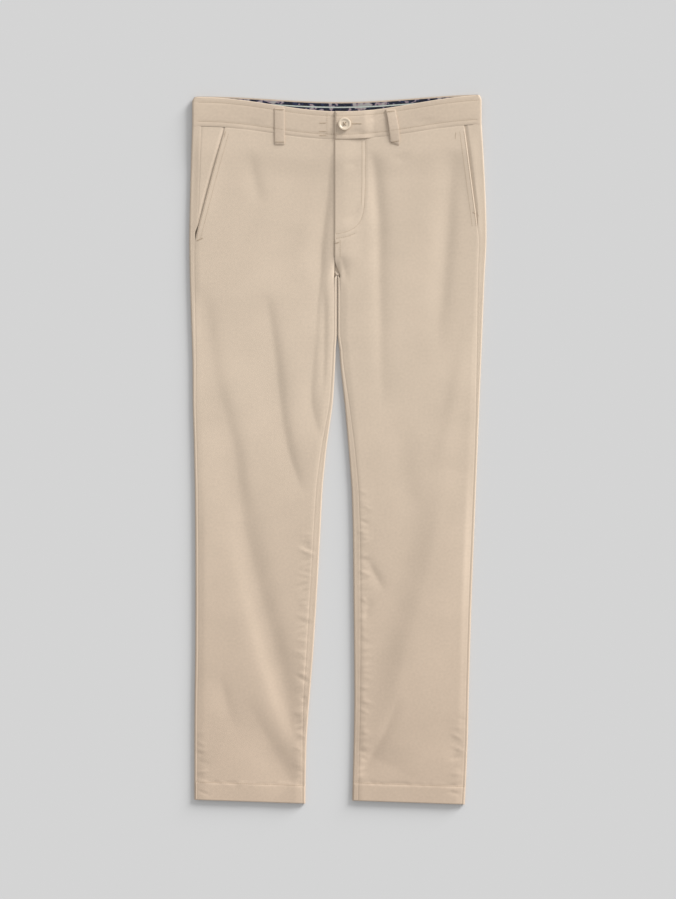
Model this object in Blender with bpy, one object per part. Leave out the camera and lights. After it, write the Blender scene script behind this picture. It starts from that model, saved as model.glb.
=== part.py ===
"""Chino trousers laid flat on their back, with the front up.

Lengths are in metres and +Z is up. X runs across the garment and +Y runs from the hems to the
waist. The origin is under the middle of the garment, on the surface it lies on. "Right" and
"left" are the wearer's, so the right leg lies at negative X.

Each cloth piece is a sheet of points with a Solidify wall turned into the garment. A back
wraps round both edges of its leg and meets the front on top, at the side seam and the inseam.
"""

import math

import bmesh
import bpy

# Cloth.
WALL = 0.0010            # one layer of twill
DOUBLE_WALL = 0.0020     # hems, waistband and belt loops are doubled cloth
LINING_WALL = 0.0007
SEAM_GAP = 0.0003        # between neighbouring pieces
SLACK_GAP = 0.0005       # where a straight-edged row meets a curved one

# How high the flat garment lies.
LEG_THICK = 0.0045       # over both walls, at the edges of a leg
WAIST_THICK = 0.0067     # top of the waistband above the surface
WAIST_RISE = 0.0013      # the back of the waist lies this high, on its belt loops
LEG_LOFT = 0.0015        # how much more the middle of a leg stands than its edges
LOFT_REACH = 0.022       # from an edge to where loft and folds are full
THICKENS_FROM_Y = 0.400  # the front rises from here to the waistband seam
RISES_FROM_Y = 0.425     # the back leaves the surface between here
RISES_TO_Y = 0.462       # and here
FLATTENS_FROM_Y = 0.430  # loft and folds die away between here
FLATTENS_TO_Y = 0.478    # and here, under the waistband

# Levels along Y.
WAIST_Y = 0.4850         # waistband seam at the sides
CROTCH_Y = 0.2720
OPEN_RUN = 0.0050        # below the crotch, the fronts part from each other over this length
CURL_START = 0.0030      # and the backs wrap round the inner edges from here
CURL_RUN = 0.0140        # to here
HEM_DEPTH = 0.0270
HEM_SLANT = -0.035       # the hems run slightly downhill towards positive X
HEM_SLANT_RUN = 0.090    # and this fades out above them
HEM_STEP = 0.006
WAIST_BLEND = 0.095      # rows follow the curve of the waist seam over this length

# Waist curves: each sinks towards the middle of the garment.
HALF_WAIST = 0.2145
DIP_CENTRE = 0.0080
SEAM_DIP_FRONT = 0.0210
SEAM_DIP_BACK = 0.0095
TOP_DIP_FRONT = 0.0230
TOP_DIP_BACK = 0.0098
BAND_TOP_FRONT = 0.5290  # at the sides
BAND_TOP_BACK = 0.5304
WAIST_TILT = 0.0075      # the wearer's left side lies a little higher

# Fly.
FLY_X = -0.0050          # edge of the left front, which laps over the right front
FLY_BOTTOM_Y = 0.3140
LAP_START_Y = 0.3040     # the right front's underlap grows from here to the fly's bottom
UNDERLAP = 0.0080        # how far the right front goes under the left front
TAB_END_X = 0.0340       # end of the right waistband's tab, under the left waistband
TAB_RAMP = 0.0180        # the left waistband comes down over this length beyond it
TAB_CLEAR = 0.0040
ZIP_WIDTH = 0.0220
ZIP_WALL = 0.0006
ZIP_TOP_Y = 0.4600
SLIDER_TOP_Y = 0.4560
SLIDER_SIZE = (0.0080, 0.0100, 0.0012)
PULL_SIZE = (0.0045, 0.0200)

# Slanted pockets.
FACING_UNDER = 0.0140    # how far a hip facing goes under the front
FACING_SINK = 0.0018     # of its face below the front's
FACING_BLEND = 0.0060    # it rises to the side seam over this length

BUTTON_PLACE = (0.0098, 0.4868)
BUTTON_RADIUS = 0.0096
BUTTON_THICK = 0.0032
BUTTON_HOLLOW = 0.0008
HOLE_RADIUS = 0.0010
HOLE_SPACING = 0.0017    # of each of the four holes from the button's middle, along X and Y

LOOP_WALL = 0.0010
LOOP_LIFT = 0.0013       # a front loop stands this much prouder half way along
LOOP_BELOW_FRONT = 0.0165
LOOP_BELOW_BACK = 0.0100
LOOP_TOP_INSET = 0.0025

# The outline of each leg, a row per level, from the hem to the waist seam:
# (y, outer edge, inner edge, side seam inside the outer edge, inseam inside the inner edge)
# Both seams are measured on the front. The inner edge has no meaning above the crotch.
LEGS = {
    "right": (
        (-0.5277, -0.2152, -0.0488, 0.0040, 0.0040),
        (-0.4510, -0.2152, -0.0480, 0.0040, 0.0050),
        (-0.3760, -0.2150, -0.0428, 0.0040, 0.0090),
        (-0.3010, -0.2138, -0.0368, 0.0040, 0.0100),
        (-0.1510, -0.2138, -0.0278, 0.0040, 0.0100),
        (-0.0385, -0.2148, -0.0218, 0.0040, 0.0090),
        (0.0365, -0.2168, -0.0128, 0.0040, 0.0060),
        (0.0740, -0.2178, -0.0070, 0.0040, 0.0045),
        (0.1490, -0.2182, -0.0034, 0.0050, 0.0040),
        (0.2240, -0.2212, -0.0022, 0.0065, 0.0040),
        (0.3125, -0.2228, -0.0014, 0.0080, 0.0040),
        (0.3500, -0.2224, -0.0012, 0.0135, 0.0040),
        (0.4490, -0.2198, -0.0012, 0.0130, 0.0040),
        (0.4850, -0.2184, -0.0012, 0.0120, 0.0040),
    ),
    "left": (
        (-0.5290, 0.1897, 0.0216, 0.0040, 0.0080),
        (-0.4510, 0.1942, 0.0234, 0.0040, 0.0080),
        (-0.3760, 0.1958, 0.0248, 0.0040, 0.0080),
        (-0.2260, 0.2002, 0.0234, 0.0040, 0.0100),
        (-0.0760, 0.2062, 0.0214, 0.0040, 0.0100),
        (-0.0010, 0.2092, 0.0162, 0.0040, 0.0090),
        (0.0740, 0.2122, 0.0096, 0.0050, 0.0060),
        (0.1110, 0.2138, 0.0054, 0.0060, 0.0045),
        (0.1490, 0.2152, 0.0014, 0.0070, 0.0040),
        (0.1860, 0.2168, 0.0006, 0.0080, 0.0040),
        (0.2610, 0.2198, 0.0004, 0.0100, 0.0040),
        (0.3200, 0.2228, 0.0003, 0.0110, 0.0040),
        (0.4110, 0.2198, 0.0003, 0.0105, 0.0040),
        (0.4850, 0.2152, 0.0003, 0.0095, 0.0040),
    ),
}

# The slanted pocket edges: (x at the waist seam, y there, x at the lower end, y there)
POCKETS = {
    "right": (-0.1700, 0.4850, -0.2148, 0.3125),
    "left": (0.1890, 0.4850, 0.2110, 0.3200),
}

# The largest folds of the front. Each runs through three places, and is raised or sunk most half
# way along: (name, x, y at the upper end, x, y in the middle, x, y at the lower end,
# half width, height), where a negative height is a trough.
FOLDS = (
    ("beside the fly", -0.018, 0.410, -0.022, 0.310, -0.014, 0.200, 0.018, -0.0020),
    ("right thigh", -0.200, 0.260, -0.150, -0.020, -0.070, -0.420, 0.026, -0.0024),
    ("right inner thigh", -0.096, 0.215, -0.082, 0.080, -0.058, -0.020, 0.016, -0.0018),
    ("right thigh roll", -0.130, 0.200, -0.116, 0.020, -0.084, -0.180, 0.022, 0.0018),
    ("left of the fly", 0.052, 0.440, 0.066, 0.300, 0.072, 0.150, 0.018, -0.0018),
    ("left fly roll", 0.046, 0.400, 0.050, 0.250, 0.048, 0.080, 0.016, 0.0014),
    ("left hip", 0.166, 0.330, 0.166, 0.240, 0.162, 0.150, 0.018, -0.0012),
    ("left knee", 0.160, -0.060, 0.114, -0.240, 0.058, -0.440, 0.026, -0.0024),
)

# Where belt loops are sewn: (name, x at the top, x at the bottom, width)
FRONT_LOOPS = (
    ("belt_loop_front_right", -0.0860, -0.0880, 0.0135),
    ("belt_loop_front_left", 0.0780, 0.0855, 0.0140),
)
BACK_LOOPS = (
    ("belt_loop_back_right", -0.1350, -0.1350, 0.0135),
    ("belt_loop_back_centre", 0.0000, 0.0000, 0.0135),
    ("belt_loop_back_left", 0.1350, 0.1350, 0.0135),
)

# The strips inside the back of the waistband: (name, depth below the band's top at the upper
# edge, depth at the lower edge, half length)
LINING = (
    ("lining_upper", 0.0022, 0.0070, 0.1960),
    ("lining_piping", 0.0073, 0.0090, 0.1900),
    ("lining_lower", 0.0093, 0.0240, 0.1840),
)

# How finely the sheets are divided.
FRONT_COLUMNS = 16
RETURN_STEPS = 2
ARC_STEPS = 4
FLAT_STEPS = 5
BAND_ROWS = 3
BAND_STEPS = 10
FACING_COLUMNS = 4
LOOP_ROWS = 6
LINING_COLUMNS = 12
ZIP_ROWS = 4
BUTTON_SIDES = 24
HOLE_SIDES = 8

# Each finish by name: (base colour, roughness, metallic)
MATERIALS = {
    "twill": ((0.60, 0.50, 0.39), 0.90, 0.0),
    "twill_band": ((0.57, 0.47, 0.36), 0.90, 0.0),
    "lining_print": ((0.03, 0.03, 0.05), 0.85, 0.0),
    "piping": ((0.50, 0.52, 0.46), 0.80, 0.0),
    "button_shell": ((0.72, 0.60, 0.42), 0.40, 0.0),
    "zip_tape": ((0.50, 0.41, 0.31), 0.85, 0.0),
    "zip_metal": ((0.60, 0.55, 0.45), 0.35, 1.0),
}


def clear_scene():
    for item in list(bpy.data.objects):
        bpy.data.objects.remove(item, do_unlink=True)


def blend(low, high, amount):
    return low + (high - low) * amount


def ease(value, start, end):
    """0 at start, 1 at end and smooth between them."""
    share = min(max((value - start) / (end - start), 0.0), 1.0)
    return share * share * (3.0 - 2.0 * share)


def read_outline(rows, level):
    """The four columns of an outline at a level, on a smooth curve through its rows."""
    level = min(max(level, rows[0][0]), rows[-1][0])
    index = 0
    while index < len(rows) - 2 and level > rows[index + 1][0]:
        index += 1
    start, end = rows[index], rows[index + 1]
    before, after = rows[max(index - 1, 0)], rows[min(index + 2, len(rows) - 1)]
    run = end[0] - start[0]
    share = (level - start[0]) / run
    values = []
    for column in range(1, 5):
        slope_in = (end[column] - before[column]) / (end[0] - before[0]) * run
        slope_out = (after[column] - start[column]) / (after[0] - start[0]) * run
        square, cube = share ** 2, share ** 3
        values.append(
            (2 * cube - 3 * square + 1) * start[column]
            + (cube - 2 * square + share) * slope_in
            + (3 * square - 2 * cube) * end[column]
            + (cube - square) * slope_out
        )
    return values


def waist_dip(x):
    """1 at the middle of the garment, 0 at its sides."""
    offset = min(max((x - DIP_CENTRE) / HALF_WAIST, -1.0), 1.0)
    return 0.5 + 0.5 * math.cos(math.pi * offset)


def seam_y(x, back):
    """The waistband seam, where back is 0 on the front and 1 on the back."""
    dip = blend(SEAM_DIP_FRONT, SEAM_DIP_BACK, back)
    return WAIST_Y + WAIST_TILT * x - dip * waist_dip(x)


def band_top_y(x, back):
    top = blend(BAND_TOP_FRONT, BAND_TOP_BACK, back)
    dip = blend(TOP_DIP_FRONT, TOP_DIP_BACK, back)
    return top + WAIST_TILT * x - dip * waist_dip(x)


def underside(level):
    """Height of the garment's lowest face, which rises on to the belt loops at the waist."""
    return WAIST_RISE * ease(level, RISES_FROM_Y, RISES_TO_Y)


def edge_top(level):
    """Height of the front where it turns over the edge."""
    return blend(LEG_THICK, WAIST_THICK, ease(level, THICKENS_FROM_Y, WAIST_Y))


def fronts_parted(level):
    """0 where the fronts are joined, 1 where each has its own inseam."""
    return 1.0 - ease(level, CROTCH_Y - OPEN_RUN, CROTCH_Y)


def backs_wrapped(level):
    """0 where the backs lie flat as far as the middle seam, 1 where they wrap round the legs."""
    return 1.0 - ease(level, CROTCH_Y - CURL_RUN, CROTCH_Y - CURL_START)


def fold_height(x, level):
    """What the folds add to the front at a place."""
    total = 0.0
    for _, upper_x, upper_y, middle_x, middle_y, lower_x, lower_y, half_width, height in FOLDS:
        if not lower_y < level < upper_y:
            continue
        share = (upper_y - level) / (upper_y - lower_y)
        middle_share = (upper_y - middle_y) / (upper_y - lower_y)
        bow = (middle_x - blend(upper_x, lower_x, middle_share)) / (middle_share * (1 - middle_share))
        path_x = blend(upper_x, lower_x, share) + bow * share * (1 - share)
        offset = abs(x - path_x) / half_width
        if offset < 1.0:
            across = 0.5 + 0.5 * math.cos(math.pi * offset)
            total += height * across * math.sin(math.pi * share) ** 0.5
    return total


def front_top(side, x, level):
    """Height of the front's outer face."""
    outer, inner, _, _ = read_outline(LEGS[side], level)
    outer_distance = abs(x - outer)
    inner_distance = abs(x - inner)
    from_outer = ease(outer_distance, LEG_THICK / 2, LOFT_REACH)
    from_inner = ease(inner_distance, LEG_THICK / 2, LOFT_REACH)
    full = from_outer * blend(1.0, from_inner, fronts_parted(level))
    below_waist = 1.0 - ease(level, FLATTENS_FROM_Y, FLATTENS_TO_Y)
    return edge_top(level) + full * below_waist * (LEG_LOFT + fold_height(x, level))


def row_y(side, x, level, back):
    """Where a row of points lies, level in the leg but along the seam at the waist and hem."""
    outer, inner, _, _ = read_outline(LEGS[side], level)
    near_waist = ease(level, WAIST_Y - WAIST_BLEND, WAIST_Y)
    hem = LEGS[side][0][0]
    near_hem = 1.0 - ease(level, hem, hem + HEM_SLANT_RUN)
    slant = HEM_SLANT * (x - (outer + inner) / 2) * near_hem
    return level + (seam_y(x, back) - WAIST_Y) * near_waist + slant


def panel_levels(side):
    """The levels at which the sheets have a row of points, from hem to waist."""
    hem = LEGS[side][0][0]
    hem_top = hem + HEM_DEPTH
    spans = (
        (hem, hem_top, 1),
        (hem_top, hem_top + HEM_STEP, 1),
        (hem_top + HEM_STEP, CROTCH_Y - CURL_RUN, 12),
        (CROTCH_Y - CURL_RUN, CROTCH_Y - OPEN_RUN, 2),
        (CROTCH_Y - OPEN_RUN, CROTCH_Y, 1),
        (CROTCH_Y, LAP_START_Y, 2),
        (LAP_START_Y, FLY_BOTTOM_Y, 1),
        (FLY_BOTTOM_Y, RISES_FROM_Y, 3),
        (RISES_FROM_Y, WAIST_Y, 3),
    )
    levels = [hem]
    for start, end, steps in spans:
        for step in range(1, steps + 1):
            levels.append(blend(start, end, step / steps))
    return levels


def pocket_edge(side, level):
    top_x, top_y, low_x, low_y = POCKETS[side]
    return blend(low_x, top_x, (level - low_y) / (top_y - low_y))


def make_material(name):
    color, roughness, metallic = MATERIALS[name]
    material = bpy.data.materials.new(name)
    material.use_nodes = True
    shader = material.node_tree.nodes["Principled BSDF"]
    shader.inputs["Base Color"].default_value = (*color, 1.0)
    shader.inputs["Roughness"].default_value = roughness
    shader.inputs["Metallic"].default_value = metallic
    material.diffuse_color = (*color, 1.0)
    return material


def add_object(name, mesh, material_name):
    piece = bpy.data.objects.new(name, mesh)
    bpy.context.scene.collection.objects.link(piece)
    mesh.materials.append(make_material(material_name))
    mesh.shade_smooth()
    return piece


def add_sheet(name, rows, material_name, wall, face_up=True, doubled_rows=0):
    """A walled sheet through rows of points, with the points on its outer face.

    face_up says whether the first row's first face looks up. The first doubled_rows rows get
    a double wall.
    """
    form = bmesh.new()
    grid = [[form.verts.new(point) for point in row] for row in rows]
    for lower, upper in zip(grid, grid[1:]):
        for index in range(len(lower) - 1):
            form.faces.new((lower[index], lower[index + 1], upper[index + 1], upper[index]))
    form.normal_update()
    form.faces.ensure_lookup_table()
    if (form.faces[0].normal.z > 0) != face_up:
        bmesh.ops.reverse_faces(form, faces=form.faces[:])
    mesh = bpy.data.meshes.new(name)
    form.to_mesh(mesh)
    form.free()
    piece = add_object(name, mesh, material_name)
    solidify = piece.modifiers.new("wall", "SOLIDIFY")
    solidify.thickness = wall
    solidify.offset = -1.0
    if doubled_rows:
        hem = piece.vertex_groups.new(name="hem")
        hem.add(list(range(doubled_rows * len(rows[0]))), 1.0, "REPLACE")
        solidify.thickness = 2 * wall
        solidify.vertex_group = "hem"
        solidify.thickness_vertex_group = 0.5
    return piece


def front_edges(side, level):
    """The x of a front's edge at the side and of its edge at the middle or inseam."""
    toward_middle = 1.0 if side == "right" else -1.0
    outer, inner, side_seam, inseam = read_outline(LEGS[side], level)
    at_side = outer + toward_middle * (side_seam + SEAM_GAP)
    if level > POCKETS[side][3]:
        slanted = pocket_edge(side, level)
        at_side = max(at_side, slanted) if side == "right" else min(at_side, slanted)
    lapped = ease(level, LAP_START_Y, FLY_BOTTOM_Y)
    at_fly = FLY_X
    if side == "right":
        at_fly += blend(-SEAM_GAP, UNDERLAP, lapped)
    at_inseam = inner - toward_middle * (inseam + SEAM_GAP)
    return at_side, blend(at_fly, at_inseam, fronts_parted(level))


def fly_lift(x, level):
    """How far the left front is raised over the right front's underlap."""
    near_fly = 1.0 - ease(x, FLY_X + UNDERLAP + 0.002, FLY_X + UNDERLAP + 0.020)
    return (WALL + SEAM_GAP) * near_fly * ease(level, CROTCH_Y + 0.008, LAP_START_Y - 0.001)


def add_front(side):
    rows = []
    for level in panel_levels(side):
        at_side, at_middle = front_edges(side, level)
        row = []
        for column in range(FRONT_COLUMNS + 1):
            x = blend(at_side, at_middle, column / FRONT_COLUMNS)
            z = front_top(side, x, level)
            if side == "left":
                z += fly_lift(x, level)
            row.append((x, row_y(side, x, level, 0.0), z))
        rows.append(row)
    add_sheet("front_" + side, rows, "twill", WALL, doubled_rows=2)


def turn_over_edge(edge_x, inward, low, high, downward):
    """The points of a round edge, each as x, z and how far round to the back it is, 0 to 1."""
    radius = (high - low) / 2
    points = []
    for step in range(1, ARC_STEPS):
        turned = step / ARC_STEPS
        angle = math.pi * (0.5 - turned if downward else turned - 0.5)
        x = edge_x + inward * radius * (1.0 - math.cos(angle))
        z = low + radius + radius * math.sin(angle)
        points.append((x, z, turned if downward else 1.0 - turned))
    return points


def back_section(side, level):
    """A back's outer face at a level, from the side seam round to the inseam or middle."""
    inward = 1.0 if side == "right" else -1.0
    outer, inner, side_seam, inseam = read_outline(LEGS[side], level)
    low, high = underside(level), edge_top(level)
    radius = (high - low) / 2
    section = []
    for step in range(RETURN_STEPS + 1):
        x = blend(outer + inward * side_seam, outer + inward * radius, step / RETURN_STEPS)
        section.append((x, front_top(side, x, level), 0.0))
    section += turn_over_edge(outer, inward, low, high, downward=True)

    # Round the inner edge below the crotch, and flat as far as the middle seam above it.
    wrapped = turn_over_edge(inner, -inward, low, high, downward=False)
    for step in range(RETURN_STEPS + 1):
        x = blend(inner - inward * radius, inner - inward * inseam, step / RETURN_STEPS)
        wrapped.append((x, front_top(side, x, level), 0.0))
    middle = -inward * SEAM_GAP / 2
    flat_length = math.pi * radius + inseam
    curl = backs_wrapped(level)
    flat_start = blend(middle - inward * flat_length, inner - inward * radius, curl)
    for step in range(FLAT_STEPS + 1):
        x = blend(outer + inward * radius, flat_start, step / FLAT_STEPS)
        section.append((x, low, 1.0))
    for step, (x, z, back) in enumerate(wrapped, start=1):
        flat_x = blend(middle - inward * flat_length, middle, step / len(wrapped))
        section.append((blend(flat_x, x, curl), blend(low, z, curl), blend(1.0, back, curl)))
    return section


def add_back(side):
    rows = []
    for level in panel_levels(side):
        section = back_section(side, level)
        rows.append([(x, row_y(side, x, level, back), z) for x, z, back in section])
    add_sheet("back_" + side, rows, "twill", WALL, doubled_rows=2)


def add_pocket_facing(side):
    """The hip piece that fills the slanted pocket's opening, and goes on under the front."""
    inward = 1.0 if side == "right" else -1.0
    low_y = POCKETS[side][3]
    rows = []
    for level in panel_levels(side):
        if level < low_y:
            continue
        outer, _, side_seam, _ = read_outline(LEGS[side], level)
        seam_x = outer + inward * (side_seam + SLACK_GAP)
        under_x = pocket_edge(side, level) + inward * FACING_UNDER
        exposed = abs(pocket_edge(side, level) - seam_x)
        row = []
        for column in range(FACING_COLUMNS + 1):
            x = blend(seam_x, under_x, (column / FACING_COLUMNS) ** 1.4)
            from_seam = abs(x - seam_x)
            sunk = 1.0
            if exposed > FACING_BLEND:
                sunk = ease(from_seam, 0.0, FACING_BLEND)
            z = front_top(side, x, level) - FACING_SINK * sunk
            row.append((x, row_y(side, x, level, 0.0), z))
        rows.append(row)
    add_sheet("pocket_facing_" + side, rows, "twill", WALL)


def tab_lift(x):
    """How far the left waistband is raised over the right one's tab."""
    ramp_start = TAB_END_X + TAB_CLEAR
    return (DOUBLE_WALL + SEAM_GAP) * (1.0 - ease(x, ramp_start, ramp_start + TAB_RAMP))


def band_face(x):
    """Height of the front waistband's outer face."""
    return WAIST_THICK + (tab_lift(x) if x >= FLY_X else 0.0)


def add_waistband(side):
    inward = 1.0 if side == "right" else -1.0
    outer = read_outline(LEGS[side], WAIST_Y)[0]
    radius = (WAIST_THICK - WAIST_RISE) / 2
    start_x = TAB_END_X if side == "right" else FLY_X
    stations = [start_x]
    if side == "left":
        ramp_start = TAB_END_X + TAB_CLEAR
        stations += [ramp_start / 2, ramp_start]
        stations += [ramp_start + TAB_RAMP * step / 3 for step in (1, 2, 3)]
    over_front = stations[-1]
    for step in range(1, BAND_STEPS + 1):
        stations.append(blend(over_front, outer + inward * radius, step / BAND_STEPS))
    section = []
    for x in stations:
        z = band_face(x) if side == "left" else WAIST_THICK
        section.append((x, z, 0.0))
    section += turn_over_edge(outer, inward, WAIST_RISE, WAIST_THICK, downward=True)
    for step in range(BAND_STEPS + 1):
        x = blend(outer + inward * radius, -inward * SEAM_GAP / 2, step / BAND_STEPS)
        section.append((x, WAIST_RISE, 1.0))
    rows = []
    for step in range(BAND_ROWS + 1):
        row = []
        for x, z, back in section:
            low = seam_y(x, back) + SLACK_GAP
            row.append((x, blend(low, band_top_y(x, back), step / BAND_ROWS), z))
        rows.append(row)
    add_sheet("waistband_" + side, rows, "twill_band", DOUBLE_WALL)


def add_lining():
    """Three strips on the inner face of the waistband's back."""
    face = WAIST_RISE + DOUBLE_WALL + SEAM_GAP + LINING_WALL
    for name, upper_depth, lower_depth, half_length in LINING:
        rows = []
        for depth in (lower_depth, upper_depth):
            row = []
            for column in range(LINING_COLUMNS + 1):
                x = blend(-half_length, half_length, column / LINING_COLUMNS)
                row.append((x, band_top_y(x, 1.0) - depth, face))
            rows.append(row)
        material_name = "piping" if name == "lining_piping" else "lining_print"
        add_sheet(name, rows, material_name, LINING_WALL)


def add_front_loop(name, top_x, bottom_x, width):
    """A strip over the waistband, sewn down at both ends and slack between them."""
    middle_x = (top_x + bottom_x) / 2
    top_y = band_top_y(middle_x, 0.0) - LOOP_TOP_INSET
    bottom_y = seam_y(middle_x, 0.0) - LOOP_BELOW_FRONT
    rows = []
    for step in range(LOOP_ROWS + 1):
        share = step / LOOP_ROWS
        middle = blend(bottom_x, top_x, share)
        y = blend(bottom_y, top_y, share)
        slack = LOOP_LIFT * math.sin(math.pi * share)
        z = WAIST_THICK + SEAM_GAP + LOOP_WALL + slack
        rows.append([(middle + width * place, y, z) for place in (-0.5, 0.0, 0.5)])
    add_sheet(name, rows, "twill_band", LOOP_WALL)


def add_back_loop(name, top_x, bottom_x, width):
    """A flat strip under the waistband, which the waist rests on."""
    middle_x = (top_x + bottom_x) / 2
    top_y = band_top_y(middle_x, 1.0) - LOOP_TOP_INSET
    bottom_y = seam_y(middle_x, 1.0) - LOOP_BELOW_BACK
    rows = []
    for y in (bottom_y, top_y):
        rows.append([(middle_x + width * place, y, 0.0) for place in (-0.5, 0.5)])
    add_sheet(name, rows, "twill_band", LOOP_WALL, face_up=False)


def zip_face(level):
    return underside(level) + WALL + SLACK_GAP + ZIP_WALL


def add_zip():
    """The closed zip's tape, inside the fly."""
    rows = []
    for step in range(ZIP_ROWS + 1):
        level = blend(FLY_BOTTOM_Y, ZIP_TOP_Y, step / ZIP_ROWS)
        z = zip_face(level)
        rows.append([(FLY_X + ZIP_WIDTH * place, level, z) for place in (-0.5, 0.5)])
    add_sheet("fly_zip", rows, "zip_tape", ZIP_WALL)


def add_slider():
    """The zip's slider at the top of its run, with its pull hanging down the tape."""
    width, length, thick = SLIDER_SIZE
    pull_width, pull_length = PULL_SIZE
    low = zip_face(SLIDER_TOP_Y) + SEAM_GAP
    body_end = SLIDER_TOP_Y - length
    pull_end = body_end - pull_length
    outline = (
        (-width / 2, SLIDER_TOP_Y),
        (-width / 2, body_end),
        (-pull_width / 2, body_end),
        (-pull_width / 2, pull_end),
        (pull_width / 2, pull_end),
        (pull_width / 2, body_end),
        (width / 2, body_end),
        (width / 2, SLIDER_TOP_Y),
    )
    form = bmesh.new()
    corners = [form.verts.new((FLY_X + x, y, low)) for x, y in outline]
    base = form.faces.new(corners)
    base.normal_update()
    if base.normal.z > 0:
        base.normal_flip()
    raised = bmesh.ops.extrude_face_region(form, geom=[base])
    lifted = [item for item in raised["geom"] if isinstance(item, bmesh.types.BMVert)]
    bmesh.ops.translate(form, verts=lifted, vec=(0.0, 0.0, thick))
    bmesh.ops.recalc_face_normals(form, faces=form.faces[:])
    mesh = bpy.data.meshes.new("zip_slider")
    form.to_mesh(mesh)
    form.free()
    add_object("zip_slider", mesh, "zip_metal")


def add_button():
    """A turned button with a raised rim and four holes, lying on the waistband's tab."""
    low = band_face(BUTTON_PLACE[0]) + SEAM_GAP
    profile = (
        (0.0, 0.0),
        (0.74 * BUTTON_RADIUS, 0.0),
        (0.96 * BUTTON_RADIUS, 0.28 * BUTTON_THICK),
        (BUTTON_RADIUS, 0.60 * BUTTON_THICK),
        (0.94 * BUTTON_RADIUS, BUTTON_THICK),
        (0.74 * BUTTON_RADIUS, BUTTON_THICK),
        (0.62 * BUTTON_RADIUS, BUTTON_THICK - BUTTON_HOLLOW),
        (0.0, BUTTON_THICK - BUTTON_HOLLOW),
    )
    form = bmesh.new()
    points = [form.verts.new((radius, 0.0, height)) for radius, height in profile]
    edges = [form.edges.new(pair) for pair in zip(points, points[1:])]
    bmesh.ops.spin(
        form,
        geom=points + edges,
        cent=(0.0, 0.0, 0.0),
        axis=(0.0, 0.0, 1.0),
        angle=2 * math.pi,
        steps=BUTTON_SIDES,
        use_merge=True,
    )
    bmesh.ops.remove_doubles(form, verts=form.verts[:], dist=0.00001)
    bmesh.ops.recalc_face_normals(form, faces=form.faces[:])
    mesh = bpy.data.meshes.new("waist_button")
    form.to_mesh(mesh)
    form.free()
    button = add_object("waist_button", mesh, "button_shell")
    button.location = (*BUTTON_PLACE, low)
    add_button_holes(button)


def add_button_holes(button):
    form = bmesh.new()
    for turn in range(4):
        angle = math.pi * (turn / 2 + 0.25)
        made = bmesh.ops.create_cone(
            form,
            cap_ends=True,
            segments=HOLE_SIDES,
            radius1=HOLE_RADIUS,
            radius2=HOLE_RADIUS,
            depth=3 * BUTTON_THICK,
        )
        reach = HOLE_SPACING * math.sqrt(2)
        place = (reach * math.cos(angle), reach * math.sin(angle), 0.0)
        bmesh.ops.translate(form, verts=made["verts"], vec=place)
    mesh = bpy.data.meshes.new("button_hole_cutter")
    form.to_mesh(mesh)
    form.free()
    cutter = bpy.data.objects.new("button_hole_cutter", mesh)
    bpy.context.scene.collection.objects.link(cutter)
    cutter.location = button.location
    cutter.hide_render = True
    cutter.display_type = "WIRE"
    cut = button.modifiers.new("holes", "BOOLEAN")
    cut.operation = "DIFFERENCE"
    cut.object = cutter


def build():
    clear_scene()
    for side in LEGS:
        add_back(side)
        add_front(side)
        add_pocket_facing(side)
        add_waistband(side)
    add_lining()
    for name, top_x, bottom_x, width in FRONT_LOOPS:
        add_front_loop(name, top_x, bottom_x, width)
    for name, top_x, bottom_x, width in BACK_LOOPS:
        add_back_loop(name, top_x, bottom_x, width)
    add_zip()
    add_slider()
    add_button()


build()
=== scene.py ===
# %% [markdown]
# # A pair of chino trousers, laid flat
#
# A laid garment looks simple and is not: two layers of cloth lie on each other, turn round the
# edges of each leg, and carry every crease that the hands left while smoothing them. This lesson
# lays each cut piece of cloth in its place as a fine grid, gives it a wall, and then sews the
# pieces with real stitches. "Right" and "left" are the wearer's, so the right leg lies at
# negative X.

import math
import random

import bpy
import numpy as np
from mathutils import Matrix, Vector
from mathutils.bvhtree import BVHTree


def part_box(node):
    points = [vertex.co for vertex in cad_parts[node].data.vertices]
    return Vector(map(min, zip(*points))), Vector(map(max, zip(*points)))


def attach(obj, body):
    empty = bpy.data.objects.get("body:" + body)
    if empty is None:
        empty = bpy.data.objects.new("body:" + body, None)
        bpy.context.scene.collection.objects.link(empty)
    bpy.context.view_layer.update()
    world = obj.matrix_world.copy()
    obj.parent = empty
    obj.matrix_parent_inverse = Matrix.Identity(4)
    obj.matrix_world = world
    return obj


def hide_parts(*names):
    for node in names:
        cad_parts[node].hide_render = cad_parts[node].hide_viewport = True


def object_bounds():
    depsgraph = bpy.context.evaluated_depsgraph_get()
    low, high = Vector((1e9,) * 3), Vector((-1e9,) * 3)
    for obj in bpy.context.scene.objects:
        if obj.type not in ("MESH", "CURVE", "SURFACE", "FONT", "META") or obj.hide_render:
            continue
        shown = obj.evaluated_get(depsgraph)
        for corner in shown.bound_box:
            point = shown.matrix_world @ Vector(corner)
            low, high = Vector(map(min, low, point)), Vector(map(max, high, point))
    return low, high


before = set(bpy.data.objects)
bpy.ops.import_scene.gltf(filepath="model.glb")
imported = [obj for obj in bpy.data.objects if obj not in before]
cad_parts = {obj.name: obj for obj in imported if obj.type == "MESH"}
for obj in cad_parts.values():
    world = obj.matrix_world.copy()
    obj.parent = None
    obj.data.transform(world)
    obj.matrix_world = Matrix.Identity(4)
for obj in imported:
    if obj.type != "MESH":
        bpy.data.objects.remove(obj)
cad_low, cad_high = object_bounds()
MM = 0.001
print("frame from", [round(value, 4) for value in cad_low])
print("to", [round(value, 4) for value in cad_high])

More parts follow.
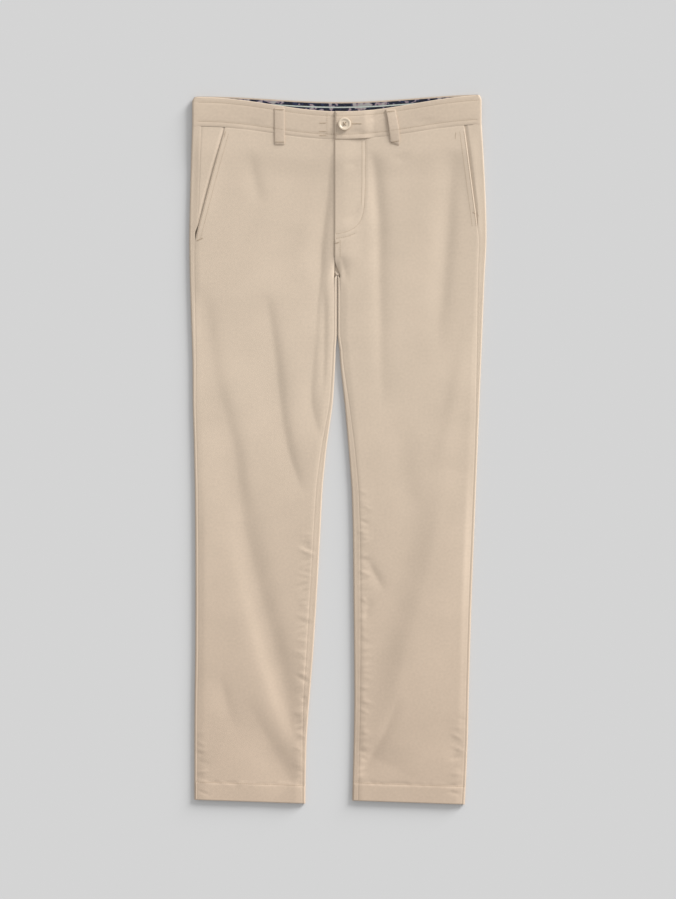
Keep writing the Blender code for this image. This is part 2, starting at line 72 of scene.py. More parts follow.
# %% [markdown]
# ## Camera, floor and light
#
# A flat garment is seen from straight above. The camera hangs over the middle of the garment and
# looks down, with the waist at the top. A long lens far away keeps the edges free of
# perspective. The light is one wide sun from the upper right, so each roll of cloth has a lit
# side and a shaded side, and the garment throws a short soft shadow to its lower left. The world
# fills the shadows.

# %% The camera
GARMENT_LENGTH = cad_high.y - cad_low.y
VIEW_HEIGHT = 1.2676 * GARMENT_LENGTH
LENS = 85.0
SENSOR = 36.0


def deselect():
    bpy.ops.object.select_all(action="DESELECT")


deselect()
half_view = math.atan(SENSOR / 2 / LENS)
camera_height = VIEW_HEIGHT / 2 / math.tan(half_view)
bpy.ops.object.camera_add(location=(0.0, 0.0, camera_height), rotation=(0.0, 0.0, 0.0))
camera = bpy.context.active_object
camera.name = "view_from_above"
camera.data.lens = LENS
camera.data.sensor_width = SENSOR
bpy.context.scene.camera = camera
print("camera at", round(camera_height, 3), "m above the surface")

# %% The floor and the light
FLOOR_COLOR = (0.60, 0.60, 0.60)
SUN_TURN = math.radians(45.0)        # from +X towards +Y
SUN_HEIGHT = math.radians(16.0)
SUN_SPREAD = math.radians(24.0)
SUN_STRENGTH = 5.0
WORLD_STRENGTH = 0.66

bpy.context.scene.view_settings.view_transform = "Standard"
bpy.ops.mesh.primitive_plane_add(size=8.0, location=(0.0, 0.0, -0.0002))
floor = bpy.context.active_object
floor.name = "floor"
floor_paint = bpy.data.materials.new("pale_floor")
floor_paint.use_nodes = True
floor_shader = floor_paint.node_tree.nodes["Principled BSDF"]
floor_shader.inputs["Base Color"].default_value = (*FLOOR_COLOR, 1.0)
floor_shader.inputs["Roughness"].default_value = 0.95
floor_shader.inputs["Specular IOR Level"].default_value = 0.0
floor.data.materials.append(floor_paint)

bpy.ops.object.light_add(type="SUN", location=(1.5, 1.5, 2.0))
sun = bpy.context.active_object
sun.name = "soft_sun"
sun.data.energy = SUN_STRENGTH
sun.data.angle = SUN_SPREAD
toward_sun = Vector((
    math.cos(SUN_HEIGHT) * math.cos(SUN_TURN),
    math.cos(SUN_HEIGHT) * math.sin(SUN_TURN),
    math.sin(SUN_HEIGHT),
))
sun.rotation_euler = toward_sun.to_track_quat("Z", "Y").to_euler()

world = bpy.data.worlds.new("room")
world.use_nodes = True
world.node_tree.nodes["Background"].inputs["Color"].default_value = (1.0, 1.0, 1.0, 1.0)
world.node_tree.nodes["Background"].inputs["Strength"].default_value = WORLD_STRENGTH
bpy.context.scene.world = world
print("sun stands", round(math.degrees(SUN_HEIGHT)), "degrees high")

# %% [markdown]
# ## Measuring the frame
#
# The frame holds each cut piece as a plain solid. Nothing has to be measured twice: a solid's
# edges are cut by a plane, as a tailor lays a rule across a garment, and the lowest and highest
# crossing are the piece's two sides there. Facets leave small kinks, which a moving average
# takes out.

# %% A rule laid across a piece
SIDES = ("right", "left")


def node_edges(node):
    """The end points of every edge of a frame node."""
    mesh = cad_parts[node].data
    points = np.empty(len(mesh.vertices) * 3, np.float32)
    mesh.vertices.foreach_get("co", points)
    points = points.reshape(-1, 3).astype(float)
    pairs = np.empty(len(mesh.edges) * 2, np.int32)
    mesh.edges.foreach_get("vertices", pairs)
    pairs = pairs.reshape(-1, 2)
    return points[pairs[:, 0]], points[pairs[:, 1]]


def crossings(ends, axis, place):
    """Where edges cross the plane at a place along an axis."""
    start, end = ends
    run = end[:, axis] - start[:, axis]
    crossing = (start[:, axis] - place) * (end[:, axis] - place) <= 0.0
    crossing &= np.abs(run) > 1e-9
    start, end, run = start[crossing], end[crossing], run[crossing]
    share = (place - start[:, axis]) / run
    return start + (end - start) * share[:, None]


def smoothed(values, reach):
    """A moving average over reach places each way, which keeps the ends."""
    padded = np.concatenate([
        2 * values[0] - values[reach:0:-1],
        values,
        2 * values[-1] - values[-2 : -reach - 2 : -1],
    ])
    weights = np.hanning(2 * reach + 3)[1:-1]
    return np.convolve(padded, weights / weights.sum(), mode="valid")


# %% The outlines of the legs
HEM_DEPTH = 27 * MM
CROTCH_Y = 0.2720
WAIST_Y = 0.4850                     # waistband seam at the garment's sides
LEVEL_STEP = 4 * MM
MEASURED = np.arange(-0.512, 0.4561, LEVEL_STEP)

outlines = {}
for side in SIDES:
    back_ends = node_edges("back_" + side)
    front_ends = node_edges("front_" + side)
    backs = [crossings(back_ends, 1, level)[:, 0] for level in MEASURED]
    fronts = [crossings(front_ends, 1, level)[:, 0] for level in MEASURED]
    sign = 1 if side == "right" else -1
    low = np.array([row.min() for row in backs])
    high = np.array([row.max() for row in backs])
    front_low = np.array([row.min() for row in fronts])
    front_high = np.array([row.max() for row in fronts])
    outer, inner = (low, high) if side == "right" else (high, low)
    front_outer, front_inner = (front_low, front_high) if side == "right" else (front_high, front_low)
    outlines[side] = {
        "outer": smoothed(outer, 6),
        "inner": smoothed(inner, 6),
        "front_outer": smoothed(front_outer, 3),
        "front_inner": smoothed(front_inner, 4),
    }
    widest = np.abs(outer - inner).max()
    print(side, "leg is", round(widest * 1000), "mm wide at its widest")


# Just below the crotch the legs lie against each other.
TOUCH_X = {"right": -1.8 * MM, "left": -1.0 * MM}
for side in SIDES:
    touching = np.clip((MEASURED - 0.150) / 0.022, 0.0, 1.0) * (MEASURED < CROTCH_Y + 0.02)
    reach = (TOUCH_X[side] - outlines[side]["inner"]) * touching
    outlines[side]["inner"] += reach
    outlines[side]["front_inner"] += reach * (MEASURED < CROTCH_Y - 0.012)


def outline(side, name, level):
    """An outline's X at each level, carried on straight past both ends."""
    values = outlines[side][name]
    inside = np.interp(level, MEASURED, values)
    top_slope = (values[-1] - values[-4]) / (3 * LEVEL_STEP)
    bottom_slope = (values[3] - values[0]) / (3 * LEVEL_STEP)
    above = np.maximum(level - MEASURED[-1], 0.0) * top_slope
    below = np.minimum(level - MEASURED[0], 0.0) * bottom_slope
    return inside + above + below


# %% The curves of the waist
WAIST_SPOTS = np.arange(-0.211, 0.2111, 4 * MM)
BAND_MIDDLE_Z = 0.0040               # the waistband's front lies above this, its back below


def band_curve(front, top):
    """The Y of the waistband's top edge or seam at each spot, on the front or the back."""
    heights = []
    for spot in WAIST_SPOTS:
        points = np.vstack([crossings(band_ends[side], 0, spot) for side in SIDES])
        on_face = points[(points[:, 2] > BAND_MIDDLE_Z) == front]
        heights.append(on_face[:, 1].max() if top else on_face[:, 1].min())
    return smoothed(np.array(heights), 5)


band_ends = {side: node_edges("waistband_" + side) for side in SIDES}
waist_curves = {
    "seam_front": band_curve(front=True, top=False),
    "seam_back": band_curve(front=False, top=False),
    "top_front": band_curve(front=True, top=True),
    "top_back": band_curve(front=False, top=True),
}


def waist_curve(name, x):
    return np.interp(x, WAIST_SPOTS, waist_curves[name])


for name, values in waist_curves.items():
    print(name, "runs from", round(values.min() * 1000), "to", round(values.max() * 1000), "mm")

# %% [markdown]
# ## How a laid garment stands
#
# Flat is never quite flat. At each edge of a leg the cloth turns over in a tight round, and away
# from the edges the upper layer floats a little over the lower one. These few heights shape
# every piece, so neighbouring pieces meet without a step.

# %% Heights
LEG_THICK = 4.5 * MM                 # both layers together, at a leg's edges
WAIST_THICK = 6.7 * MM
WAIST_RISE = 1.3 * MM                # the back of the waist lies on its belt loops
LEG_LOFT = 1.0 * MM
LOFT_REACH = 16 * MM
CLOTH = 0.9 * MM                     # one layer
BAND_CLOTH = 1.7 * MM                # the waistband's folded layers
LOOP_CLOTH = 1.1 * MM
DEEPEST = 2.4 * MM                   # as far as the upper layer can sink
LAP = 1.4 * MM                       # one layer lies this much over another


def ease(value, start, end):
    """0 at start, 1 at end and smooth between them."""
    share = np.clip((value - start) / (end - start), 0.0, 1.0)
    return share * share * (3.0 - 2.0 * share)


def blend(low, high, amount):
    return low + (high - low) * amount


def underside(level):
    return WAIST_RISE * ease(level, 0.425, 0.462)


def edge_top(level):
    return blend(LEG_THICK, WAIST_THICK, ease(level, 0.400, WAIST_Y))


def parted(level):
    """0 where the fronts are joined above the crotch, 1 where the legs are apart."""
    return 1.0 - ease(level, CROTCH_Y - 0.012, CROTCH_Y + 0.004)


# %% [markdown]
# ## Creases and rolls
#
# Each crease follows a path that was drawn, from the waist downwards. It has its own
# width on either side, because cloth that was pushed to one side falls steeply there and
# gently on the other. Where a path has a negative height the cloth sinks into a trough, and
# where it is positive it rises into a roll. The heights come and go along the path, as uneven
# as hands leave them.

# %% The table of creases
# (name, width at the viewer's left of a downward path, width at its right, sharpness,
#  stations of x, y, height), all in millimetres. Sharpness 2 is a round trough, 1 a crease.
CREASES = (
    ("beside the fly", 24, 7, 1.3, (
        (-9, 462, 0), (-11, 434, -1.0), (-16, 374, -2.2), (-21, 337, -2.8), (-25, 299, -2.8),
        (-26, 262, -2.2), (-30, 224, -1.6), (-33, 179, -1.2), (-36, 130, -0.8), (-38, 80, 0),
    )),
    ("inner edge of the right leg", 8, 5, 1.6, (
        (-21, 250, 0), (-20, 215, -1.0), (-20, 170, -1.2), (-21, 120, -1.0), (-23, 75, 0),
    )),
    ("below the fly, right leg", 16, 7, 1.5, (
        (-36, 175, 0), (-39, 120, -0.8), (-40, 74, -1.4), (-32, 36, -0.8), (-22, 15, 0),
    )),
    ("right thigh, upper", 40, 14, 2.0, (
        (-208, 246, 0), (-199, 200, -1.4), (-193, 149, -1.3), (-186, 104, -1.2), (-172, 52, -1.7),
        (-159, 0, -2.3), (-153, -50, -2.5), (-142, -106, 0),
    )),
    ("right thigh, lower", 24, 17, 1.5, (
        (-156, -40, 0), (-144, -95, -1.9), (-134, -145, -2.7), (-124, -190, -3.1),
        (-112, -240, -3.4), (-99, -288, -3.6), (-87, -334, -3.7), (-77, -380, -3.3),
        (-70, -418, -1.8), (-59, -446, 0),
    )),
    ("roll beside it", 34, 16, 2.0, (
        (-168, -110, 0), (-160, -170, 0.7), (-148, -225, 0.9), (-135, -275, 1.2),
        (-121, -325, 1.4), (-106, -372, 1.4), (-90, -420, 0.9), (-80, -450, 0),
    )),
    ("right inner thigh", 42, 9, 1.4, (
        (-110, 236, 0), (-103, 205, -1.5), (-96, 155, -2.4), (-91, 110, -2.8), (-87, 70, -2.8),
        (-81, 28, -2.6), (-71, -14, -2.2), (-60, -46, -1.2), (-50, -70, 0),
    )),
    ("right shin", 30, 18, 1.6, (
        (-138, -372, 0), (-118, -412, -1.6), (-104, -440, -2.4), (-92, -464, -3.2),
        (-78, -488, -3.4), (-64, -504, 0),
    )),
    ("right shin, small", 16, 10, 1.7, (
        (-178, -330, 0), (-172, -362, -1.0), (-164, -394, -0.8), (-150, -430, 0),
    )),
    ("right hip", 14, 9, 1.8, (
        (-134, 452, 0), (-128, 420, -0.8), (-122, 390, -0.9), (-116, 362, 0),
    )),
    ("right hip, inner", 30, 22, 2.0, (
        (-52, 430, 0), (-60, 370, -0.9), (-72, 320, -1.1), (-76, 270, -0.8), (-78, 230, 0),
    )),
    ("left of the fly", 11, 11, 1.6, (
        (46, 455, 0), (54, 424, -1.7), (58, 378, -2.4), (61, 336, -2.3), (62, 299, -2.0),
        (62, 261, -1.7), (63, 224, -1.5), (64, 186, -1.3), (64, 149, -1.0), (66, 100, -0.6),
        (70, 50, 0),
    )),
    ("left hip", 18, 12, 1.8, (
        (172, 450, 0), (169, 420, -1.3), (166, 374, -1.7), (164, 336, -2.2), (161, 299, -2.2),
        (158, 261, -1.9), (155, 224, -1.7), (151, 186, -1.0), (150, 140, 0),
    )),
    ("left outer roll", 12, 14, 2.0, (
        (196, 190, 0), (184, 120, 0.9), (172, 60, 0.9), (160, 10, 0.6), (150, -40, 0),
    )),
    ("left knee roll", 26, 60, 2.0, (
        (168, -30, 0), (160, -80, 2.0), (153, -120, 3.0), (142, -170, 3.4), (129, -215, 3.6),
        (116, -262, 3.8), (104, -306, 3.8), (94, -350, 3.6), (82, -392, 3.0), (68, -432, 2.0),
        (54, -462, 0),
    )),
    ("left knee crease", 8, 9, 1.6, (
        (96, -372, 0), (82, -396, -1.0), (68, -428, -1.6), (54, -452, -2.0), (42, -474, -1.6),
        (32, -490, 0),
    )),
    ("left shin, small", 9, 7, 1.6, (
        (42, -160, 0), (50, -178, -0.9), (60, -196, -1.0), (70, -214, 0),
    )),
    ("left shin, smaller", 8, 6, 1.6, (
        (48, -222, 0), (44, -240, -0.7), (40, -262, 0),
    )),
    ("left thigh, slight", 22, 18, 2.0, (
        (100, 60, 0), (96, 0, -0.6), (104, -60, -0.8), (118, -110, 0),
    )),
    ("left hem, slight", 14, 10, 1.8, (
        (186, -420, 0), (178, -446, -0.9), (168, -468, 0),
    )),
    ("right of the crotch", 7, 6, 1.5, (
        (4, 292, 0), (7, 280, -0.9), (10, 264, -1.1), (12, 246, 0),
    )),
    ("inside the fly", 6, 6, 1.7, (
        (34, 440, 0), (22, 428, -0.6), (8, 424, 0),
    )),
    ("inside the fly, lower", 6, 6, 1.7, (
        (34, 366, 0), (22, 350, -0.7), (6, 340, 0),
    )),
    ("under the left belt loop", 8, 7, 1.8, (
        (78, 438, 0), (94, 436, -0.6), (110, 444, 0),
    )),
)


def smooth_path(stations, spacing=0.006):
    """Points and heights along a smooth curve through the stations, in metres."""
    knots = np.array(stations, float) * MM
    padded = np.vstack([2 * knots[0] - knots[1], knots, 2 * knots[-1] - knots[-2]])
    pieces = []
    for index in range(1, len(padded) - 2):
        before, start, end, after = padded[index - 1 : index + 3]
        count = max(int(np.linalg.norm((end - start)[:2]) / spacing), 2)
        share = np.linspace(0.0, 1.0, count, endpoint=False)[:, None]
        pieces.append(0.5 * (
            2 * start
            + (end - before) * share
            + (2 * before - 5 * start + 4 * end - after) * share ** 2
            + (3 * start - before - 3 * end + after) * share ** 3
        ))
    pieces.append(knots[-1:])
    return np.vstack(pieces)


CREASE_PATHS = [
    (left * MM, right * MM, sharpness, smooth_path(stations))
    for _, left, right, sharpness, stations in CREASES
]
print(len(CREASE_PATHS), "creases and rolls drawn")

# %% Laying the creases into the cloth


def along_path(path, x, y, reach):
    """For points near a path: which they are, their signed distance and the height there."""
    near = (x > path[:, 0].min() - reach) & (x < path[:, 0].max() + reach)
    near &= (y > path[:, 1].min() - reach) & (y < path[:, 1].max() + reach)
    chosen = np.nonzero(near)[0]
    best = np.full(len(chosen), np.inf)
    side = np.zeros(len(chosen))
    height = np.zeros(len(chosen))
    px, py = x[chosen], y[chosen]
    for start, end in zip(path, path[1:]):
        run = end[:2] - start[:2]
        length = np.hypot(*run)
        share = ((px - start[0]) * run[0] + (py - start[1]) * run[1]) / length ** 2
        share = np.clip(share, 0.0, 1.0)
        off_x = px - (start[0] + run[0] * share)
        off_y = py - (start[1] + run[1] * share)
        distance = np.hypot(off_x, off_y)
        closer = distance < best
        best[closer] = distance[closer]
        turned = run[0] * off_y - run[1] * off_x
        side[closer] = np.sign(turned[closer])
        height[closer] = (start[2] + (end[2] - start[2]) * share)[closer]
    return chosen, best * side, height


def crease_height(x, y):
    """What all creases and rolls add to the cloth at each point."""
    total = np.zeros(len(x))
    for left, right, sharpness, path in CREASE_PATHS:
        reach = 3.0 * max(left, right)
        chosen, distance, height = along_path(path, x, y, reach)
        width = np.where(distance < 0.0, left, right)
        total[chosen] += height * np.exp(-(np.abs(distance) / width) ** sharpness)
    return total


# %% [markdown]
# ## Puckers
#
# A seam that is sewn a little tight draws the cloth into short ripples across it. Each ripple is
# a small ridge of its own length, turn and height. A seeded draw scatters them, so they are
# uneven but the same each time.

# %% Puckers along a line


def pucker_marks(seed, start, end, count, off, spread, length, height):
    """Small ridges scattered along a line from start to end, off millimetres to its right."""
    draw = random.Random(seed)
    marks = []
    for index in range(count):
        share = (index + draw.uniform(0.15, 0.85)) / count
        x = blend(start[0], end[0], share) + off + draw.uniform(-spread, spread)
        y = blend(start[1], end[1], share)
        marks.append((
            x * MM,
            y * MM,
            draw.uniform(-0.5, 0.5),
            length * draw.uniform(0.6, 1.3) * MM,
            draw.uniform(1.8, 3.2) * MM,
            height * draw.uniform(0.3, 1.0) * draw.choice((1, 1, -1)) * MM,
        ))
    return marks


PUCKERS = (
    pucker_marks(3, (-40, -125), (-50, -505), 42, -7, 3, 9, 0.9)
    + pucker_marks(4, (35, -60), (33, -505), 40, 5, 3, 8, 0.7)
    + pucker_marks(5, (-212, -498), (-60, -502), 22, 0, 3, 6, 0.5)
    + pucker_marks(6, (30, -499), (186, -503), 20, 0, 3, 6, 0.4)
    + pucker_marks(7, (-208, -420), (-208, -520), 9, 4, 3, 9, 0.7)
    + pucker_marks(8, (190, -400), (184, -520), 9, -8, 5, 10, 0.7)
)


def pucker_height(x, y):
    total = np.zeros(len(x))
    for mark_x, mark_y, turn, length, width, height in PUCKERS:
        near = (np.abs(x - mark_x) < 2 * length) & (np.abs(y - mark_y) < 2 * length)
        if not near.any():
            continue
        off_x, off_y = x[near] - mark_x, y[near] - mark_y
        along = off_x * math.cos(turn) + off_y * math.sin(turn)
        across = -off_x * math.sin(turn) + off_y * math.cos(turn)
        total[near] += height * np.exp(-(along / length) ** 2 - (across / width) ** 2)
    return total


print(len(PUCKERS), "puckers scattered")

# %% [markdown]
# ## The form of the front
#
# The height of the upper layer at any point is the edge's height, plus loft and creases that
# fade out towards the edges, plus the puckers. Fronts, the backs' turned-over strips and pocket
# facings ask this one function, and the stitches are let down onto the cloth laid from it, so
# they agree.

# %% The height of the upper layer


def top_height(side, x, level, y):
    """Height of the upper layer's outer face."""
    from_outer = ease(np.abs(x - outline(side, "outer", level)), LEG_THICK / 2, LOFT_REACH)
    from_inner = ease(np.abs(x - outline(side, "inner", level)), LEG_THICK / 2, LOFT_REACH)
    full = from_outer * blend(1.0, from_inner, parted(level))
    near_band = 1.0 - ease(level, 0.440, 0.482)
    relief = LEG_LOFT + crease_height(x, y)
    # The upper layer never sinks into the lower one.
    relief = np.where(relief < 0.0, DEEPEST * np.tanh(relief / DEEPEST), relief)
    return edge_top(level) + full * near_band * relief + pucker_height(x, y) * full ** 0.25


HEM_LINES = {}
for side in SIDES:
    low_corner, high_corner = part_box("front_" + side)
    start, end = node_edges("front_" + side)
    lowest = [crossings((start, end), 0, spot)[:, 1].min() for spot in (
        low_corner.x + 0.06, high_corner.x - 0.06)]
    slope = (lowest[1] - lowest[0]) / (high_corner.x - low_corner.x - 0.12)
    HEM_LINES[side] = (low_corner.x + 0.06, lowest[0], slope)
    print(side, "hem runs at", round(lowest[0] * 1000, 1), "mm with slope", round(slope, 3))


def hem_line(side, x):
    spot, y, slope = HEM_LINES[side]
    return y + slope * (x - spot)


def hem_level(side):
    """The hem's level in the middle of the leg."""
    middle = (outline(side, "outer", np.array([-0.52])) + outline(side, "inner", np.array([-0.52]))) / 2
    return hem_line(side, middle[0])


def row_y(side, x, level, back):
    """Rows run level in the leg, but follow the waistband seam and the hem near them."""
    near_waist = ease(level, 0.390, WAIST_Y)
    seam = blend(waist_curve("seam_front", x), waist_curve("seam_back", x), back)
    near_hem = 1.0 - ease(level, hem_level(side), hem_level(side) + 0.090)
    at_hem = hem_line(side, x) - hem_level(side)
    return level + (seam - WAIST_Y) * near_waist + at_hem * near_hem


# %% [markdown]
# ## Laying a piece of cloth
#
# Every piece starts as a flat grid, like cloth on a cutting table. The grid's lines are packed
# closer where there is more to show, such as at an edge. Each point is then laid in place, and
# the distance along the cloth is kept in the UV map, so that the weave runs with the piece. A
# Solidify modifier gives the wall.

# %% The cutting table


def packed(*spans):
    """Places from spans of (start, end, count), each span's start included."""
    places = []
    for start, end, count in spans:
        places += list(np.linspace(start, end, count, endpoint=False))
    return np.array(places + [spans[-1][1]])


def lay_cloth(name, across, along, place, turn_over=False):
    """A grid with its lines at the given places, and each point laid where place() says."""
    deselect()
    bpy.ops.mesh.primitive_grid_add(
        x_subdivisions=len(across) - 1,
        y_subdivisions=len(along) - 1,
        size=2.0,
        calc_uvs=True,
    )
    cloth = bpy.context.active_object
    cloth.name = name
    cloth.data.name = name
    mesh = cloth.data
    flat = np.empty(len(mesh.vertices) * 3, np.float32)
    mesh.vertices.foreach_get("co", flat)
    flat = flat.reshape(-1, 3)
    column = np.rint((flat[:, 0] + 1.0) / 2.0 * (len(across) - 1)).astype(int)
    row = np.rint((flat[:, 1] + 1.0) / 2.0 * (len(along) - 1)).astype(int)
    points, cut = place(across[column], along[row])
    mesh.vertices.foreach_set("co", points.astype(np.float32).ravel())
    corners = np.empty(len(mesh.loops), np.int32)
    mesh.loops.foreach_get("vertex_index", corners)
    mesh.uv_layers[0].data.foreach_set("uv", cut[corners].astype(np.float32).ravel())
    if turn_over:
        mesh.flip_normals()
    mesh.update()
    return cloth


def give_wall(cloth, thickness):
    """Turns the laid sheet into a thin closed shell, with the laid side outermost."""
    deselect()
    cloth.select_set(True)
    bpy.context.view_layer.objects.active = cloth
    wall = cloth.modifiers.new("wall", "SOLIDIFY")
    wall.thickness = thickness
    wall.offset = -1.0
    bpy.ops.object.modifier_apply(modifier="wall")
    bpy.ops.object.shade_smooth_by_angle(angle=math.radians(50.0))
    count = sum(len(face.vertices) - 2 for face in cloth.data.polygons)
    print(cloth.name, "has", count, "triangles")


def rolled_edge(distance, radius):
    """How far a rolled edge has sunk at a distance from it."""
    inside = np.clip(radius - distance, 0.0, radius)
    return radius - np.sqrt(np.maximum(radius ** 2 - inside ** 2, 0.0))


# %% [markdown]
# ## The two fronts
#
# A front runs from the hem to the waistband seam. Its outer side is the side seam, and higher up
# the slanted pocket edge, which stands open over the hip facing. Its inner side is the inseam,
# and above the crotch the fly. The left front laps over the right one there, as on men's
# trousers. Grid lines are packed round the fly and along the inseam, where the small puckers
# are.

# %% Where the fronts' details run
FLY_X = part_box("front_left")[0].x
FLY_BOTTOM_Y = 0.3140
POCKET_LOW_Y = {"right": 0.3125, "left": 0.3300}
SEAM_SINK = 0.22 * MM
SEAM_WIDTH = 1.0 * MM
EDGE_ROLL = 1.0 * MM
HEM_SWELL = 0.5 * MM
STITCH_SINK = 0.45 * MM
STITCH_WIDTH = 1.6 * MM

FLY_CURVE = (
    (41, 462, 0), (41, 420, 0), (40.5, 380, 0), (38, 354, 0), (31, 338, 0), (18, 328, 0),
    (4, 324, 0), (-3, 323, 0),
)
FLY_CURVE_LOW = ((26, 324, 0), (14, 319, 0), (-3, 316, 0))
fly_path = smooth_path(FLY_CURVE)
fly_path_low = smooth_path(FLY_CURVE_LOW)


def groove(path, x, y):
    """How far a row of stitches draws the cloth down."""
    sunk = np.zeros(len(x))
    chosen, distance, _ = along_path(path, x, y, 4 * STITCH_WIDTH)
    sunk[chosen] = STITCH_SINK * np.exp(-(distance / STITCH_WIDTH) ** 2)
    return sunk


def fly_lift(x, level):
    """The left front stands over the right front's underlap."""
    near_fly = 1.0 - ease(x, FLY_X + 0.012, FLY_X + 0.044)
    return LAP * near_fly * ease(level, CROTCH_Y - 0.002, CROTCH_Y + 0.022)


def crotch_dimple(x, y):
    return 2.6 * MM * np.exp(-((x + 0.0025) / 0.0050) ** 2 - ((y - 0.269) / 0.0110) ** 2)


# %% Laying the fronts
FRONT_ACROSS = packed(
    (0.0, 0.010, 5), (0.010, 0.050, 10), (0.050, 0.740, 46), (0.740, 0.985, 28), (0.985, 1.0, 5))


def front_levels(side):
    hem = hem_level(side)
    return packed(
        (hem, hem + 2 * MM, 5),
        (hem + 2 * MM, hem + 0.050, 27),
        (hem + 0.050, 0.470, 380),
        (0.470, WAIST_Y, 10),
    )


def place_front(side):
    inward = 1.0 if side == "right" else -1.0

    def place(share, level):
        side_x = outline(side, "front_outer", level)
        inner_x = outline(side, "front_inner", level)
        x = blend(side_x, inner_x, share)
        y = row_y(side, x, level, 0.0)
        z = top_height(side, x, level, y)
        from_side = np.abs(x - side_x)
        from_inner = np.abs(x - inner_x)

        # The pocket's edge is free and rolled, and stands a little open.
        free = ease(level, POCKET_LOW_Y[side], POCKET_LOW_Y[side] + 0.012)
        free = free * (1.0 - ease(level, 0.470, 0.482))
        z = z - free * rolled_edge(from_side, EDGE_ROLL)
        lift = np.exp(-(from_side / 0.011) ** 2) * np.sin(math.pi * np.clip(
            (level - POCKET_LOW_Y[side]) / (0.480 - POCKET_LOW_Y[side]), 0.0, 1.0))
        z = z + 0.9 * MM * lift

        # Seams sink, the fly's edge is free.
        z = z - (1.0 - free) * SEAM_SINK * np.exp(-(from_side / SEAM_WIDTH) ** 2)
        joined = 1.0 - parted(level)
        if side == "left":
            z = z + fly_lift(x, level)
            z = z - joined * rolled_edge(from_inner, EDGE_ROLL)
            z = z - groove(fly_path, x, y) - groove(fly_path_low, x, y)
        z = z - (1.0 - joined) * SEAM_SINK * np.exp(-(from_inner / SEAM_WIDTH) ** 2)
        z = z - crotch_dimple(x, y)

        # The hem is doubled, drawn in by its stitches and rolled at its fold.
        above_hem = y - hem_line(side, x)
        z = z + HEM_SWELL * (1.0 - ease(above_hem, HEM_DEPTH - 2 * MM, HEM_DEPTH + 2 * MM))
        z = z - STITCH_SINK * np.exp(-((above_hem - HEM_DEPTH) / STITCH_WIDTH) ** 2)
        z = z - rolled_edge(above_hem, 1.6 * MM)
        below_band = waist_curve("seam_front", x) - y
        z = z - SEAM_SINK * np.exp(-(below_band / SEAM_WIDTH) ** 2)
        return np.stack([x, y, z], axis=1), np.stack([x * inward, y], axis=1)

    return place


fronts = {}
for side in SIDES:
    fronts[side] = lay_cloth(
        "front_cloth_" + side, FRONT_ACROSS, front_levels(side), place_front(side),
        turn_over=side == "left",
    )
    give_wall(fronts[side], CLOTH)

# %% [markdown]
# ## The two backs
#
# A back is wider than a front, so it wraps round both edges of its leg and shows as a narrow
# strip on top, outside the side seam and inside the inseam. The way round is walked in five
# stretches: a strip, a round edge, the flat underside, a round edge and a strip. Above the
# crotch the inner stretches lie flat under the fly instead, as far as the seam in the middle.

# %% Walking round a leg
ROUND = (0.16, 0.34, 0.66, 0.84)     # where each stretch ends, as shares of the grid's width
BACK_ACROSS = packed((0.0, ROUND[0], 10), (ROUND[0], ROUND[1], 9), (ROUND[1], ROUND[2], 9),
                     (ROUND[2], ROUND[3], 9), (ROUND[3], 1.0, 10))


